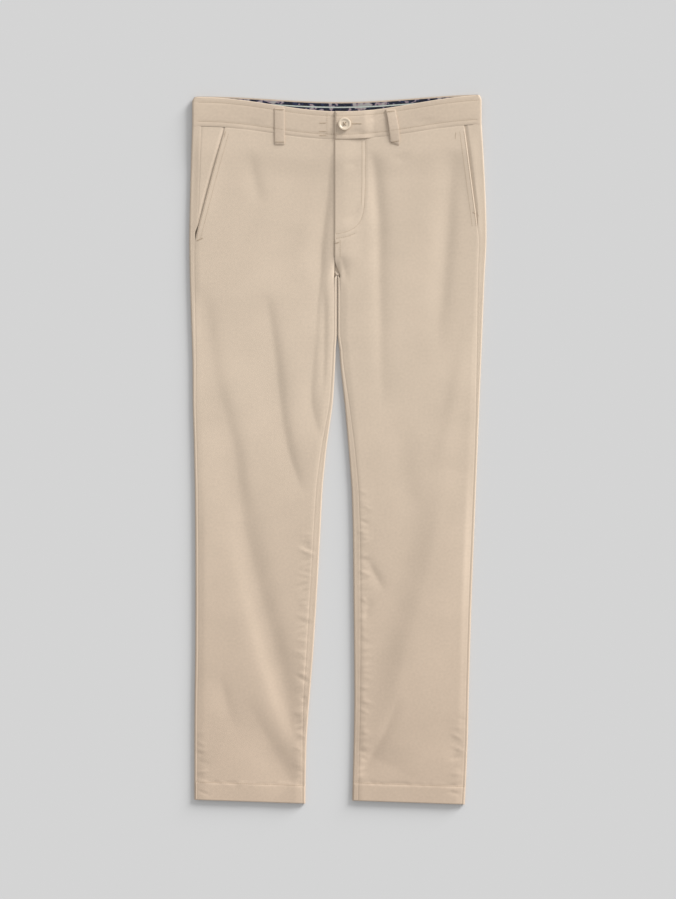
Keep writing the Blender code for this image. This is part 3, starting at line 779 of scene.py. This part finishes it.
def place_back(side):
    inward = 1.0 if side == "right" else -1.0

    def place(share, level):
        outer, inner = outline(side, "outer", level), outline(side, "inner", level)
        side_seam = outline(side, "front_outer", level)
        level_seam = np.minimum(level, POCKET_LOW_Y[side])
        # Beside the pocket the seam runs on up inside the slanted edge.
        seam_inset = np.abs(
            outline(side, "front_outer", level_seam) - outline(side, "outer", level_seam))
        beside_pocket = ease(level, POCKET_LOW_Y[side] - 0.010, POCKET_LOW_Y[side] + 0.030)
        hip_inset = HIP_INSET[side] * beside_pocket
        seam_inset = np.maximum(seam_inset, hip_inset)
        side_seam = outer + inward * seam_inset
        inseam = outline(side, "front_inner", level)
        low, high = underside(level), edge_top(level)
        radius = (high - low) / 2
        wrap = 1.0 - ease(level, CROTCH_Y - 0.016, CROTCH_Y - 0.003)
        inner_inset = np.maximum(np.abs(inseam - inner), radius + 1.2 * MM)
        full_strip = 1.0 - ease(level, CROTCH_Y - 0.040, CROTCH_Y - 0.010)
        inner_inset = blend(radius + 1.2 * MM, inner_inset, full_strip)
        walked = math.pi * radius + inner_inset
        middle = -inward * 0.15 * MM
        flat_end = blend(middle - inward * walked, inner - inward * radius, wrap)

        # The five stretches, and how far along its own stretch each point is.
        strip_out = share < ROUND[0]
        edge_out = (share >= ROUND[0]) & (share < ROUND[1])
        bottom = (share >= ROUND[1]) & (share < ROUND[2])
        edge_in = (share >= ROUND[2]) & (share < ROUND[3])
        strip_in = share >= ROUND[3]
        part = np.select(
            [strip_out, edge_out, bottom, edge_in, strip_in],
            [
                share / ROUND[0],
                (share - ROUND[0]) / (ROUND[1] - ROUND[0]),
                (share - ROUND[1]) / (ROUND[2] - ROUND[1]),
                (share - ROUND[2]) / (ROUND[3] - ROUND[2]),
                (share - ROUND[3]) / (1.0 - ROUND[3]),
            ],
        )
        # Where each stretch lies across the leg.
        angle = part * math.pi
        x_out = blend(side_seam, outer + inward * radius, part)
        x_edge_out = outer + inward * radius * (1.0 - np.sin(angle))
        x_bottom = blend(outer + inward * radius, flat_end, part)
        x_edge_in = blend(
            flat_end + inward * part * math.pi * radius,
            inner - inward * radius * (1.0 - np.sin(angle)),
            wrap,
        )
        x_in = blend(
            flat_end + inward * (math.pi * radius + part * (inner_inset)),
            blend(inner - inward * radius, inner - inward * inner_inset, part),
            wrap,
        )
        stretches = [strip_out, edge_out, bottom, edge_in, strip_in]
        x = np.select(stretches, [x_out, x_edge_out, x_bottom, x_edge_in, x_in])
        none = 0.0 * part
        back = np.select(
            stretches,
            [none, part, 1.0 + none, blend(1.0, 1.0 - part, wrap), blend(1.0, 0.0, wrap) + none],
        )
        y = row_y(side, x, level, back)
        # How high it lies: the strips as high as the front, the rounds along a half circle.
        top = top_height(side, x, level, y)
        above_hem = y - hem_line(side, x)
        top = top + HEM_SWELL * (1.0 - ease(above_hem, HEM_DEPTH - 2 * MM, HEM_DEPTH + 2 * MM))
        top = top - STITCH_SINK * np.exp(-((above_hem - HEM_DEPTH) / STITCH_WIDTH) ** 2)
        top = top - rolled_edge(above_hem, 1.6 * MM)
        top = top - SEAM_SINK * np.exp(-(np.abs(x - side_seam) / SEAM_WIDTH) ** 2)
        from_inseam = np.abs(x - (inner - inward * inner_inset))
        top = top - wrap * SEAM_SINK * np.exp(-(from_inseam / SEAM_WIDTH) ** 2)
        z_edge_out = low + radius * (1.0 + np.cos(angle))
        z_edge_in = blend(low, low + radius * (1.0 - np.cos(angle)), wrap)
        z_in = blend(low, top, wrap)
        z = np.select(stretches, [top, z_edge_out, low + none, z_edge_in, z_in])
        width = 0.03 + np.abs(inner - outer)
        return np.stack([x, y, z], axis=1), np.stack([share * width * inward, y], axis=1)

    return place


HIP_INSET = {"right": 13.5 * MM, "left": 10.5 * MM}
backs = {}
for side in SIDES:
    levels = packed(
        (hem_level(side), hem_level(side) + 2 * MM, 5),
        (hem_level(side) + 2 * MM, hem_level(side) + 0.050, 24),
        (hem_level(side) + 0.050, CROTCH_Y - 0.020, 260),
        (CROTCH_Y - 0.020, CROTCH_Y + 0.002, 16),
        (CROTCH_Y + 0.002, WAIST_Y, 76),
    )
    backs[side] = lay_cloth(
        "back_cloth_" + side, BACK_ACROSS, levels, place_back(side), turn_over=side == "right")
    give_wall(backs[side], CLOTH)

# %% [markdown]
# ## The hip facings
#
# A slanted pocket shows a piece of the trousers' own cloth behind its opening. It carries on
# from the back's strip as one even surface, and only slips under the front along the slant.

# %% Laying the hip facings
UNDER_FRONT = 5 * MM


def place_facing(side):
    inward = 1.0 if side == "right" else -1.0

    def place(share, level):
        outer_x = outline(side, "outer", level) + inward * (HIP_INSET[side] - 1.0 * MM)
        slant_x = outline(side, "front_outer", level) + inward * UNDER_FRONT
        outer_x = inward * np.minimum(inward * outer_x, inward * slant_x - 3 * MM)
        x = blend(outer_x, slant_x, share)
        y = row_y(side, x, level, 0.0)
        under = ease(np.abs(x - slant_x), UNDER_FRONT + 6 * MM, UNDER_FRONT - 1 * MM)
        joining = ease(share, 0.10, 0.0)
        z = top_height(side, x, level, y) - 1.25 * MM * under - 0.35 * MM * joining
        return np.stack([x, y, z], axis=1), np.stack([x * inward, y], axis=1)

    return place


facings = {}
for side in SIDES:
    facings[side] = lay_cloth(
        "pocket_facing_cloth_" + side, packed((0.0, 1.0, 30)),
        packed((POCKET_LOW_Y[side] + 0.004, 0.4845, 70)), place_facing(side), turn_over=side == "left")
    give_wall(facings[side], CLOTH)

# %% [markdown]
# ## The waistband
#
# A waistband is a strip of cloth folded double, so it is stiffer and thicker than the rest and
# keeps a straight, slightly swollen face between its two rows of stitches. Each half starts at
# the front opening, turns round the side and ends at the seam in the middle of the back. The
# left half laps over a short tab of the right one, and rides up there.

# %% Laying the waistband
TAB_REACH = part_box("waistband_right")[1].x
LAP_LIFT = 2.1 * MM
BAND_WRINKLES = (
    (6, 5, 1.8, ((0, 502, 0), (14, 505, -0.8), (34, 508, -0.9), (58, 511, -0.7), (76, 510, 0))),
    (5, 4, 1.8, ((40, 492, 0), (52, 496, -0.7), (66, 503, -0.6), (74, 507, 0))),
    (7, 5, 1.9, ((8, 472, 0), (26, 475, -0.7), (46, 472, -0.6), (60, 474, 0))),
    (8, 6, 2.0, ((-150, 484, 0), (-128, 488, -0.4), (-106, 484, 0))),
    (8, 6, 2.0, ((112, 486, 0), (134, 490, -0.5), (160, 486, 0))),
)
BAND_PATHS = [(a * MM, b * MM, sharp, smooth_path(stations)) for a, b, sharp, stations in BAND_WRINKLES]


def band_side(side, y):
    """The X of the waistband's outer edge."""
    sign = -1.0 if side == "right" else 1.0
    ends = [np.abs(crossings(band_ends[side], 1, level)[:, 0]).max() for level in (0.497, 0.515)]
    return sign * (ends[0] + (y - 0.497) * (ends[1] - ends[0]) / 0.018)


def band_relief(x, y, up):
    height = 0.15 * MM * np.sin(math.pi * up) - SEAM_SINK * np.exp(-(up / 0.030) ** 2)
    height -= rolled_edge((1.0 - up) * 0.045, 1.0 * MM)
    for row in (0.17, 0.83):
        height -= 0.22 * MM * np.exp(-((up - row) / 0.035) ** 2)
    for left, right, sharp, path in BAND_PATHS:
        chosen, distance, depth = along_path(path, x, y, 0.02)
        width = np.where(distance < 0.0, left, right)
        height[chosen] += depth * np.exp(-(np.abs(distance) / width) ** sharp)
    return height


def place_band(side):
    inward = 1.0 if side == "right" else -1.0
    start = TAB_REACH if side == "right" else FLY_X

    def place(share, up):
        level = 0.485 + 0.042 * up
        outer = band_side(side, level)
        outer = outer + inward * 3.5 * MM * np.clip((up - 0.80) / 0.20, 0.0, 1.0) ** 2
        low, high = WAIST_RISE, 6.9 * MM
        radius = (high - low) / 2
        part = np.select(
            [share < 0.44, share < 0.56], [share / 0.44, (share - 0.44) / 0.12], (share - 0.56) / 0.44)
        front, turned = share < 0.44, (share >= 0.44) & (share < 0.56)
        x = np.select(
            [front, turned],
            [
                blend(start, outer + inward * radius, part),
                outer + inward * radius * (1.0 - np.sin(part * math.pi)),
            ],
            blend(outer + inward * radius, -inward * 0.15 * MM, part),
        )
        y_front = blend(waist_curve("seam_front", x), waist_curve("top_front", x), up)
        y_back = blend(waist_curve("seam_back", x), waist_curve("top_back", x), up)
        back = np.select([front, turned], [0.0 * part, part], 1.0 + 0.0 * part)
        y = blend(y_front, y_back, back)
        top = high + band_relief(x, y, up) * ease(np.abs(x - outer), 0.0, 0.012)
        if side == "left":
            top = top + LAP_LIFT * (1.0 - ease(x, TAB_REACH + 4 * MM, TAB_REACH + 22 * MM))
            top = top - rolled_edge(np.abs(x - FLY_X), 1.4 * MM)
        else:
            top = top - 0.3 * MM * ease(x, FLY_X - 0.010, FLY_X)
        z_turned = low + radius * (1.0 + np.cos(part * math.pi))
        z = np.select([front, turned], [top, z_turned], low + 0.0 * part)
        return np.stack([x, y, z], axis=1), np.stack([share * 0.46, level], axis=1)

    return place


BAND_ACROSS = packed(
    (0.0, 0.02, 8), (0.02, 0.16, 60), (0.16, 0.44, 56), (0.44, 0.56, 12), (0.56, 1.0, 40))
BAND_ROWS = packed((0.0, 0.10, 6), (0.10, 0.92, 28), (0.92, 1.0, 7))
bands = {}
for side in SIDES:
    bands[side] = lay_cloth(
        "waistband_cloth_" + side, BAND_ACROSS, BAND_ROWS, place_band(side), turn_over=side == "right")
    give_wall(bands[side], BAND_CLOTH)

# %% [markdown]
# ## The belt loops
#
# A belt loop is a narrow folded strip, sewn down at both ends with a dense bar of stitches. The
# right one lies straight. The left one was pushed over, so it stands off the band on one side
# and leans. The loops at the back lie under the garment.

# %% Laying the front loops
LOOP_SHAPES = {
    # (y, x of the left side, x of the right side, height), in millimetres, from the bottom up
    "right": ((456.5, -94.6, -79.9, 7.9), (462, -94.8, -79.7, 8.0), (485, -95.0, -79.8, 8.2),
              (504, -95.2, -80.0, 8.1), (511.5, -95.2, -80.0, 7.6)),
    "left": ((455.5, 78.0, 91.5, 7.9), (462, 78.2, 92.6, 8.1), (480, 76.4, 91.5, 8.8),
             (497, 74.0, 88.2, 8.9), (509, 71.4, 86.0, 8.3)),
}


def place_loop(side):
    table = np.array(LOOP_SHAPES[side]) * MM

    def place(across, along):
        y = blend(table[0, 0], table[-1, 0], along)
        low = np.interp(y, table[:, 0], table[:, 1])
        high = np.interp(y, table[:, 0], table[:, 2])
        x = blend(low, high, across)
        crown = 0.12 * MM * np.sin(math.pi * across) - 0.3 * MM * (np.abs(2 * across - 1.0)) ** 10
        z = np.interp(y, table[:, 0], table[:, 3]) + crown
        z = z - 0.4 * MM * np.exp(-(along / 0.02) ** 2) - 0.4 * MM * np.exp(-((1 - along) / 0.03) ** 2)
        if side == "left":
            z = z + 0.9 * MM * (1.0 - across) * np.sin(math.pi * along)
            y = y + 5.0 * MM * (1 - along) ** 3 * (1.0 - across)
        return np.stack([x, y, z], axis=1), np.stack([x, y], axis=1)

    return place


loops = {}
for side in SIDES:
    loops[side] = lay_cloth(
        "belt_loop_cloth_" + side, packed((0.0, 0.12, 4), (0.12, 0.88, 10), (0.88, 1.0, 4)),
        packed((0.0, 1.0, 60)), place_loop(side))
    give_wall(loops[side], LOOP_CLOTH)

# %% [markdown]
# ## Stitches
#
# A row of stitches holds every hem, pocket and band. One stitch is a short grain of thread, and
# it is modelled once. Each row then takes a copy at every step along its path, lets it down onto
# the cloth below, and turns it along the row.

# %% One stitch, and rows of it
STITCH_PITCH = 3.1 * MM
deselect()
bpy.ops.mesh.primitive_uv_sphere_add(segments=6, ring_count=4, radius=1.0)
grain = bpy.context.active_object
GRAIN_POINTS = np.array([tuple(vertex.co) for vertex in grain.data.vertices])
GRAIN_FACES = [tuple(face.vertices) for face in grain.data.polygons]
bpy.ops.object.delete()

cloth_pieces = [piece for group in (fronts, backs, bands, loops) for piece in group.values()]
graph = bpy.context.evaluated_depsgraph_get()
trees = [BVHTree.FromObject(piece, graph) for piece in cloth_pieces]


def cloth_height(x, y):
    """The highest cloth at a place."""
    hits = [tree.ray_cast(Vector((x, y, 0.05)), Vector((0.0, 0.0, -1.0)))[0] for tree in trees]
    return max((hit.z for hit in hits if hit is not None), default=0.0)


def sew(name, rows, pitch=STITCH_PITCH, width=0.42 * MM, cover=0.40):
    """One mesh that holds every stitch of some rows, each row a list of (x, y) in metres."""
    points, faces = [], []
    for row in rows:
        row = np.array(row, float)
        steps = np.hypot(*np.diff(row, axis=0).T)
        walked = np.concatenate([[0.0], np.cumsum(steps)])
        count = max(int(walked[-1] / pitch), 1)
        for index in range(count):
            places = [walked[-1] * (index + 0.5 + half) / count for half in (-cover, cover)]
            ends_x = np.interp(places, walked, row[:, 0])
            ends_y = np.interp(places, walked, row[:, 1])
            start, end = [Vector((x, y, 0.0)) for x, y in zip(ends_x, ends_y)]
            start.z, end.z = cloth_height(start.x, start.y), cloth_height(end.x, end.y)
            if min(start.z, end.z) < 2 * MM or abs(start.z - end.z) > 1.5 * MM:
                continue
            middle, along = (start + end) / 2, (end - start) / 2
            side = Vector((0.0, 0.0, 1.0)).cross(along).normalized() * width
            up = along.cross(side).normalized() * 0.28 * MM
            base = len(points)
            points += [
                tuple(middle + along * a + side * b + up * c) for a, b, c in GRAIN_POINTS[:, [2, 0, 1]]]
            faces += [tuple(base + corner for corner in face) for face in GRAIN_FACES]
    mesh = bpy.data.meshes.new(name)
    mesh.from_pydata(points, [], faces)
    mesh.update()
    thread = bpy.data.objects.new(name, mesh)
    bpy.context.collection.objects.link(thread)
    print(name, "has", len(faces) // len(GRAIN_FACES), "stitches")
    return thread


def line(start, end, count=60):
    return [
        (blend(start[0], end[0], share) * MM, blend(start[1], end[1], share) * MM)
        for share in np.linspace(0, 1, count)
    ]


def bar(x, y, half_width, turn=0.0):
    """A dense bar of stitches that holds a point of strain."""
    reach_x, reach_y = half_width * math.cos(turn), half_width * math.sin(turn)
    return [
        line((x - reach_x, y - reach_y + off), (x + reach_x, y + reach_y + off), 6)
        for off in (-0.5, 0.5)
    ]


# %% The rows of the waist
across_band = np.linspace(-0.209, 0.209, 150)
band_rows = []
for row in (0.17, 0.83):
    band_rows.append([
        (x, blend(waist_curve("seam_front", x), waist_curve("top_front", x), row)) for x in across_band])
band_rows.append(line((-16.5, 468), (-16.5, 504)))
band_rows.append(line((-2.2, 468), (-2.2, 504)))
band_stitches = sew("waistband_stitches", band_rows)
tacks = (
    bar(-87.2, 460.0, 6.6) + bar(-87.4, 508.8, 6.6)
    + bar(85.4, 460.6, 6.2, 0.18) + bar(79.0, 506.0, 6.0, 0.1)
    + bar(-23.0, 488.5, 5.0) + bar(-23.0, 476.0, 5.0) + bar(-23.0, 470.0, 5.0)
    + bar(206.0, 353.0, 5.0, -0.5) + bar(-207.0, 314.5, 5.0, 0.4) + bar(176.0, 470.0, 4.5, 1.5)
    + bar(-169.0, 472.0, 4.5, 1.4) + bar(-2.0, 309.0, 4.0, 0.3) + bar(28.0, 487.2, 7.5)
)
tack_stitches = sew("bar_tacks", tacks, pitch=1.1 * MM, width=0.45 * MM, cover=0.52)

# %% The rows of the fly, the pockets and the hems
panel_rows = [
    [tuple(point[:2]) for point in fly_path],
    [tuple(point[:2] - (0.005, 0.0)) for point in fly_path[: int(len(fly_path) * 0.62)]],
    [tuple(point[:2]) for point in fly_path_low],
    line((-6.0, 316), (-6.0, 288)),
    line((3.3, 314), (3.3, 288)),
]
for side, inward in (("right", 1.0), ("left", -1.0)):
    pocket_levels = np.linspace(POCKET_LOW_Y[side] + 0.004, 0.476, 60)
    for inset in (2.0 * MM, 8.0 * MM):
        edge = outline(side, "front_outer", pocket_levels) + inward * inset
        panel_rows.append(list(zip(edge, row_y(side, edge, pocket_levels, 0.0))))
    hem_spots = np.linspace(
        outline(side, "outer", np.array([-0.49]))[0] + inward * 2 * MM,
        outline(side, "inner", np.array([-0.49]))[0] - inward * 2 * MM, 80)
    panel_rows.append([(x, hem_line(side, x) + HEM_DEPTH) for x in hem_spots])
panel_stitches = sew("panel_stitches", panel_rows)

# %% The button's thread
button_low, button_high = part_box("waist_button")
button_middle = (button_low + button_high) / 2
deselect()
bpy.ops.mesh.primitive_cylinder_add(
    vertices=10, radius=0.75 * MM, depth=5.0 * MM, rotation=(0.0, math.pi / 2, math.pi / 4),
    location=(button_middle.x, button_middle.y, button_high.z - 0.55 * MM))
button_thread = bpy.context.active_object
button_thread.name = "button_thread"
bpy.ops.mesh.primitive_cylinder_add(
    vertices=10, radius=0.75 * MM, depth=5.0 * MM, rotation=(0.0, math.pi / 2, -math.pi / 4),
    location=(button_middle.x, button_middle.y, button_high.z - 0.5 * MM))
second_thread = bpy.context.active_object
bpy.ops.object.select_all(action="DESELECT")
second_thread.select_set(True)
button_thread.select_set(True)
bpy.context.view_layer.objects.active = button_thread
bpy.ops.object.join()
bpy.ops.object.transform_apply(location=True, rotation=True, scale=True)

# %% [markdown]
# ## Materials
#
# Cotton twill is woven with a fine diagonal rib, dyed as a whole piece and a little uneven,
# with slubs where the yarn was thicker. One node group makes the rib and the unevenness as plain
# values, and every twill piece mixes its own colours with them. The printed lining has dark
# blotches with touches of mauve and grey.

# %% The weave group


def new_group(name, inputs, outputs):
    group = bpy.data.node_groups.new(name, "ShaderNodeTree")
    for title, kind, value in inputs:
        socket = group.interface.new_socket(title, in_out="INPUT", socket_type=kind)
        if value is not None:
            socket.default_value = value
    for title, kind in outputs:
        group.interface.new_socket(title, in_out="OUTPUT", socket_type=kind)
    return group, group.nodes.new("NodeGroupInput"), group.nodes.new("NodeGroupOutput")


weave, weave_in, weave_out = new_group(
    "twill_weave",
    (("Vector", "NodeSocketVector", None), ("Ribs per metre", "NodeSocketFloat", 420.0)),
    (("Rib", "NodeSocketFloat"), ("Unevenness", "NodeSocketFloat")),
)
weave_wave = weave.nodes.new("ShaderNodeTexWave")
weave_wave.bands_direction = "DIAGONAL"
weave_wave.inputs["Distortion"].default_value = 1.2
weave_wave.inputs["Detail"].default_value = 2.0
weave_slub = weave.nodes.new("ShaderNodeTexNoise")
weave_slub.inputs["Scale"].default_value = 260.0
weave_slub.inputs["Detail"].default_value = 4.0
weave_tone = weave.nodes.new("ShaderNodeTexNoise")
weave_tone.inputs["Scale"].default_value = 14.0
weave_tone.inputs["Detail"].default_value = 3.0
weave_mix = weave.nodes.new("ShaderNodeMath")
weave_mix.operation = "ADD"
weave_half = weave.nodes.new("ShaderNodeMath")
weave_half.operation = "MULTIPLY"
weave_half.inputs[1].default_value = 0.5
for node in (weave_wave, weave_slub, weave_tone):
    weave.links.new(weave_in.outputs["Vector"], node.inputs["Vector"])
weave.links.new(weave_in.outputs["Ribs per metre"], weave_wave.inputs["Scale"])
weave.links.new(weave_slub.outputs["Fac"], weave_mix.inputs[0])
weave.links.new(weave_tone.outputs["Fac"], weave_mix.inputs[1])
weave.links.new(weave_mix.outputs[0], weave_half.inputs[0])
weave.links.new(weave_wave.outputs["Fac"], weave_out.inputs["Rib"])
weave.links.new(weave_half.outputs[0], weave_out.inputs["Unevenness"])

# %% Painted shade along the legs, darker towards the hems
# Painted shade: this group gives a share that grows from the Knee level down to the Hem level. The
# cloth's colour is darkened by that share, standing in for light that falls off down the legs, not for a
# darker dye.
depth, painted_shade_in, painted_shade_out = new_group(
    "painted_shade_towards_hems",
    (
        ("Vector", "NodeSocketVector", None),
        ("Knee", "NodeSocketFloat", 0.10),
        ("Hem", "NodeSocketFloat", -0.50),
    ),
    (("Painted shade", "NodeSocketFloat"),),
)
painted_shade_split = depth.nodes.new("ShaderNodeSeparateXYZ")
painted_shade_range = depth.nodes.new("ShaderNodeMapRange")
depth.links.new(painted_shade_in.outputs["Vector"], painted_shade_split.inputs[0])
depth.links.new(painted_shade_split.outputs["Y"], painted_shade_range.inputs["Value"])
depth.links.new(painted_shade_in.outputs["Knee"], painted_shade_range.inputs["From Min"])
depth.links.new(painted_shade_in.outputs["Hem"], painted_shade_range.inputs["From Max"])
depth.links.new(painted_shade_range.outputs["Result"], painted_shade_out.inputs["Painted shade"])

# %% Cloths and hard finishes


def woven(name, dark, light, bump=0.25, use_uv=True, sheen=0.15, roughness=0.92):
    """A woven cloth between two colours, with its ribs as relief."""
    paint = bpy.data.materials.new(name)
    paint.use_nodes = True
    nodes, links = paint.node_tree.nodes, paint.node_tree.links
    shader = nodes["Principled BSDF"]
    shader.inputs["Roughness"].default_value = roughness
    shader.inputs["Specular IOR Level"].default_value = 0.15
    shader.inputs["Sheen Weight"].default_value = sheen
    shader.inputs["Sheen Roughness"].default_value = 0.5
    place = nodes.new("ShaderNodeTexCoord")
    group = nodes.new("ShaderNodeGroup")
    group.node_tree = weave
    ramp = nodes.new("ShaderNodeValToRGB")
    ramp.color_ramp.elements[0].position = 0.36
    ramp.color_ramp.elements[0].color = (*dark, 1.0)
    ramp.color_ramp.elements[1].position = 0.64
    ramp.color_ramp.elements[1].color = (*light, 1.0)
    relief = nodes.new("ShaderNodeBump")
    relief.inputs["Strength"].default_value = bump
    relief.inputs["Distance"].default_value = 0.0003
    links.new(place.outputs["UV" if use_uv else "Object"], group.inputs["Vector"])
    # Painted shade: the cloth's colour is multiplied darker towards the hems, in place of light falling
    # off down the legs.
    painted_shade_node = nodes.new("ShaderNodeGroup")
    painted_shade_node.node_tree = depth
    painted_shade_mix = nodes.new("ShaderNodeMix")
    painted_shade_mix.data_type = "RGBA"
    painted_shade_mix.blend_type = "MULTIPLY"
    # The colour of the painted shade at the hems.
    painted_shade_mix.inputs[7].default_value = (0.90, 0.865, 0.85, 1.0)
    links.new(place.outputs["Object"], painted_shade_node.inputs["Vector"])
    links.new(painted_shade_node.outputs["Painted shade"], painted_shade_mix.inputs[0])
    links.new(group.outputs["Unevenness"], ramp.inputs["Fac"])
    links.new(ramp.outputs["Color"], painted_shade_mix.inputs[6])
    links.new(painted_shade_mix.outputs[2], shader.inputs["Base Color"])
    links.new(group.outputs["Rib"], relief.inputs["Height"])
    links.new(relief.outputs["Normal"], shader.inputs["Normal"])
    return paint


twill = woven("tan_twill", (0.555, 0.455, 0.355), (0.615, 0.503, 0.393))
twill_solid = woven("tan_twill_facing", (0.53, 0.43, 0.335), (0.59, 0.48, 0.375), use_uv=False)
band_twill = woven("waistband_twill", (0.530, 0.430, 0.335), (0.590, 0.480, 0.372))
loop_twill = woven("belt_loop_twill", (0.51, 0.41, 0.32), (0.57, 0.465, 0.36))
tape = woven("zip_tape", (0.50, 0.40, 0.30), (0.58, 0.47, 0.36), use_uv=False)
piping = woven("grey_green_piping", (0.42, 0.46, 0.42), (0.54, 0.58, 0.53), use_uv=False)
thread = woven("tan_thread", (0.36, 0.28, 0.20), (0.46, 0.36, 0.26), use_uv=False, bump=0.1)
HARD = {"bump": 0.02, "use_uv": False, "sheen": 0.0}
metal = woven("zip_metal", (0.30, 0.25, 0.15), (0.38, 0.32, 0.20), roughness=0.35, **HARD)
metal.node_tree.nodes["Principled BSDF"].inputs["Metallic"].default_value = 1.0
shell = woven("button_shell", (0.62, 0.52, 0.40), (0.70, 0.59, 0.46), roughness=0.38, **HARD)
shell.node_tree.nodes["Principled BSDF"].inputs["Specular IOR Level"].default_value = 0.5


def printed(name, grounds):
    """Loose blotches of a few colours on a dark ground."""
    paint = woven(name, grounds[0], grounds[1], use_uv=False)
    nodes, links = paint.node_tree.nodes, paint.node_tree.links
    place = nodes["Texture Coordinate"]
    blotch = nodes.new("ShaderNodeTexNoise")
    blotch.inputs["Scale"].default_value = 110.0
    blotch.inputs["Detail"].default_value = 1.5
    ramp = nodes.new("ShaderNodeValToRGB")
    ramp.color_ramp.interpolation = "CONSTANT"
    ramp.color_ramp.elements[0].color = (*grounds[0], 1.0)
    ramp.color_ramp.elements[1].position = 0.50
    ramp.color_ramp.elements[1].color = (*grounds[1], 1.0)
    for position, color in ((0.56, grounds[2]), (0.62, grounds[3])):
        ramp.color_ramp.elements.new(position).color = (*color, 1.0)
    links.new(place.outputs["Object"], blotch.inputs["Vector"])
    links.new(blotch.outputs["Fac"], ramp.inputs["Fac"])
    links.new(ramp.outputs["Color"], nodes["Principled BSDF"].inputs["Base Color"])
    return paint


print_paint = printed(
    "blotch_print",
    ((0.012, 0.014, 0.026), (0.022, 0.028, 0.060), (0.26, 0.20, 0.22), (0.30, 0.29, 0.28)),
)

# %% [markdown]
# ## Handing over
#
# Each new piece takes the place of the frame's solid and moves with it.

# %% Finishes for the pieces that stay
KEPT_FINISHES = {
    "lining_upper": print_paint, "lining_lower": print_paint, "lining_piping": piping,
    "belt_loop_back_right": twill_solid, "belt_loop_back_left": twill_solid,
    "belt_loop_back_centre": twill_solid, "fly_zip": tape, "zip_slider": metal, "waist_button": shell,
}
for node, paint in KEPT_FINISHES.items():
    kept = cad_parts[node]
    for index in range(len(kept.material_slots)):
        kept.material_slots[index].material = paint
    print(node, "wears", paint.name)


def hand_over(piece, paint, slot, nodes, flat=None, area=None):
    piece.data.materials.clear()
    piece.data.materials.append(paint)
    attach(piece, "root")
    if nodes:
        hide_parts(*nodes)


FACING_CUTS = {"right": ((0.172, 0.050), 0.004), "left": ((0.155, 0.034), 0.0028)}
for side in SIDES:
    hand_over(fronts[side], twill, "twill", ["front_" + side], (1.04, 0.245), 0.19)
    hand_over(backs[side], twill, "twill", ["back_" + side], (1.06, 0.33), 0.25)
    hand_over(facings[side], twill, "twill", ["pocket_facing_" + side], *FACING_CUTS[side])
    hand_over(bands[side], band_twill, "waistband_twill", ["waistband_" + side], (0.47, 0.048))
    hand_over(loops[side], loop_twill, "waistband_twill", ["belt_loop_front_" + side], (0.060, 0.016))
for piece in (band_stitches, tack_stitches, panel_stitches, button_thread):
    hand_over(piece, thread, "twill", [])

# %% Sizes
print("frame", [round(value, 4) for value in cad_high - cad_low])
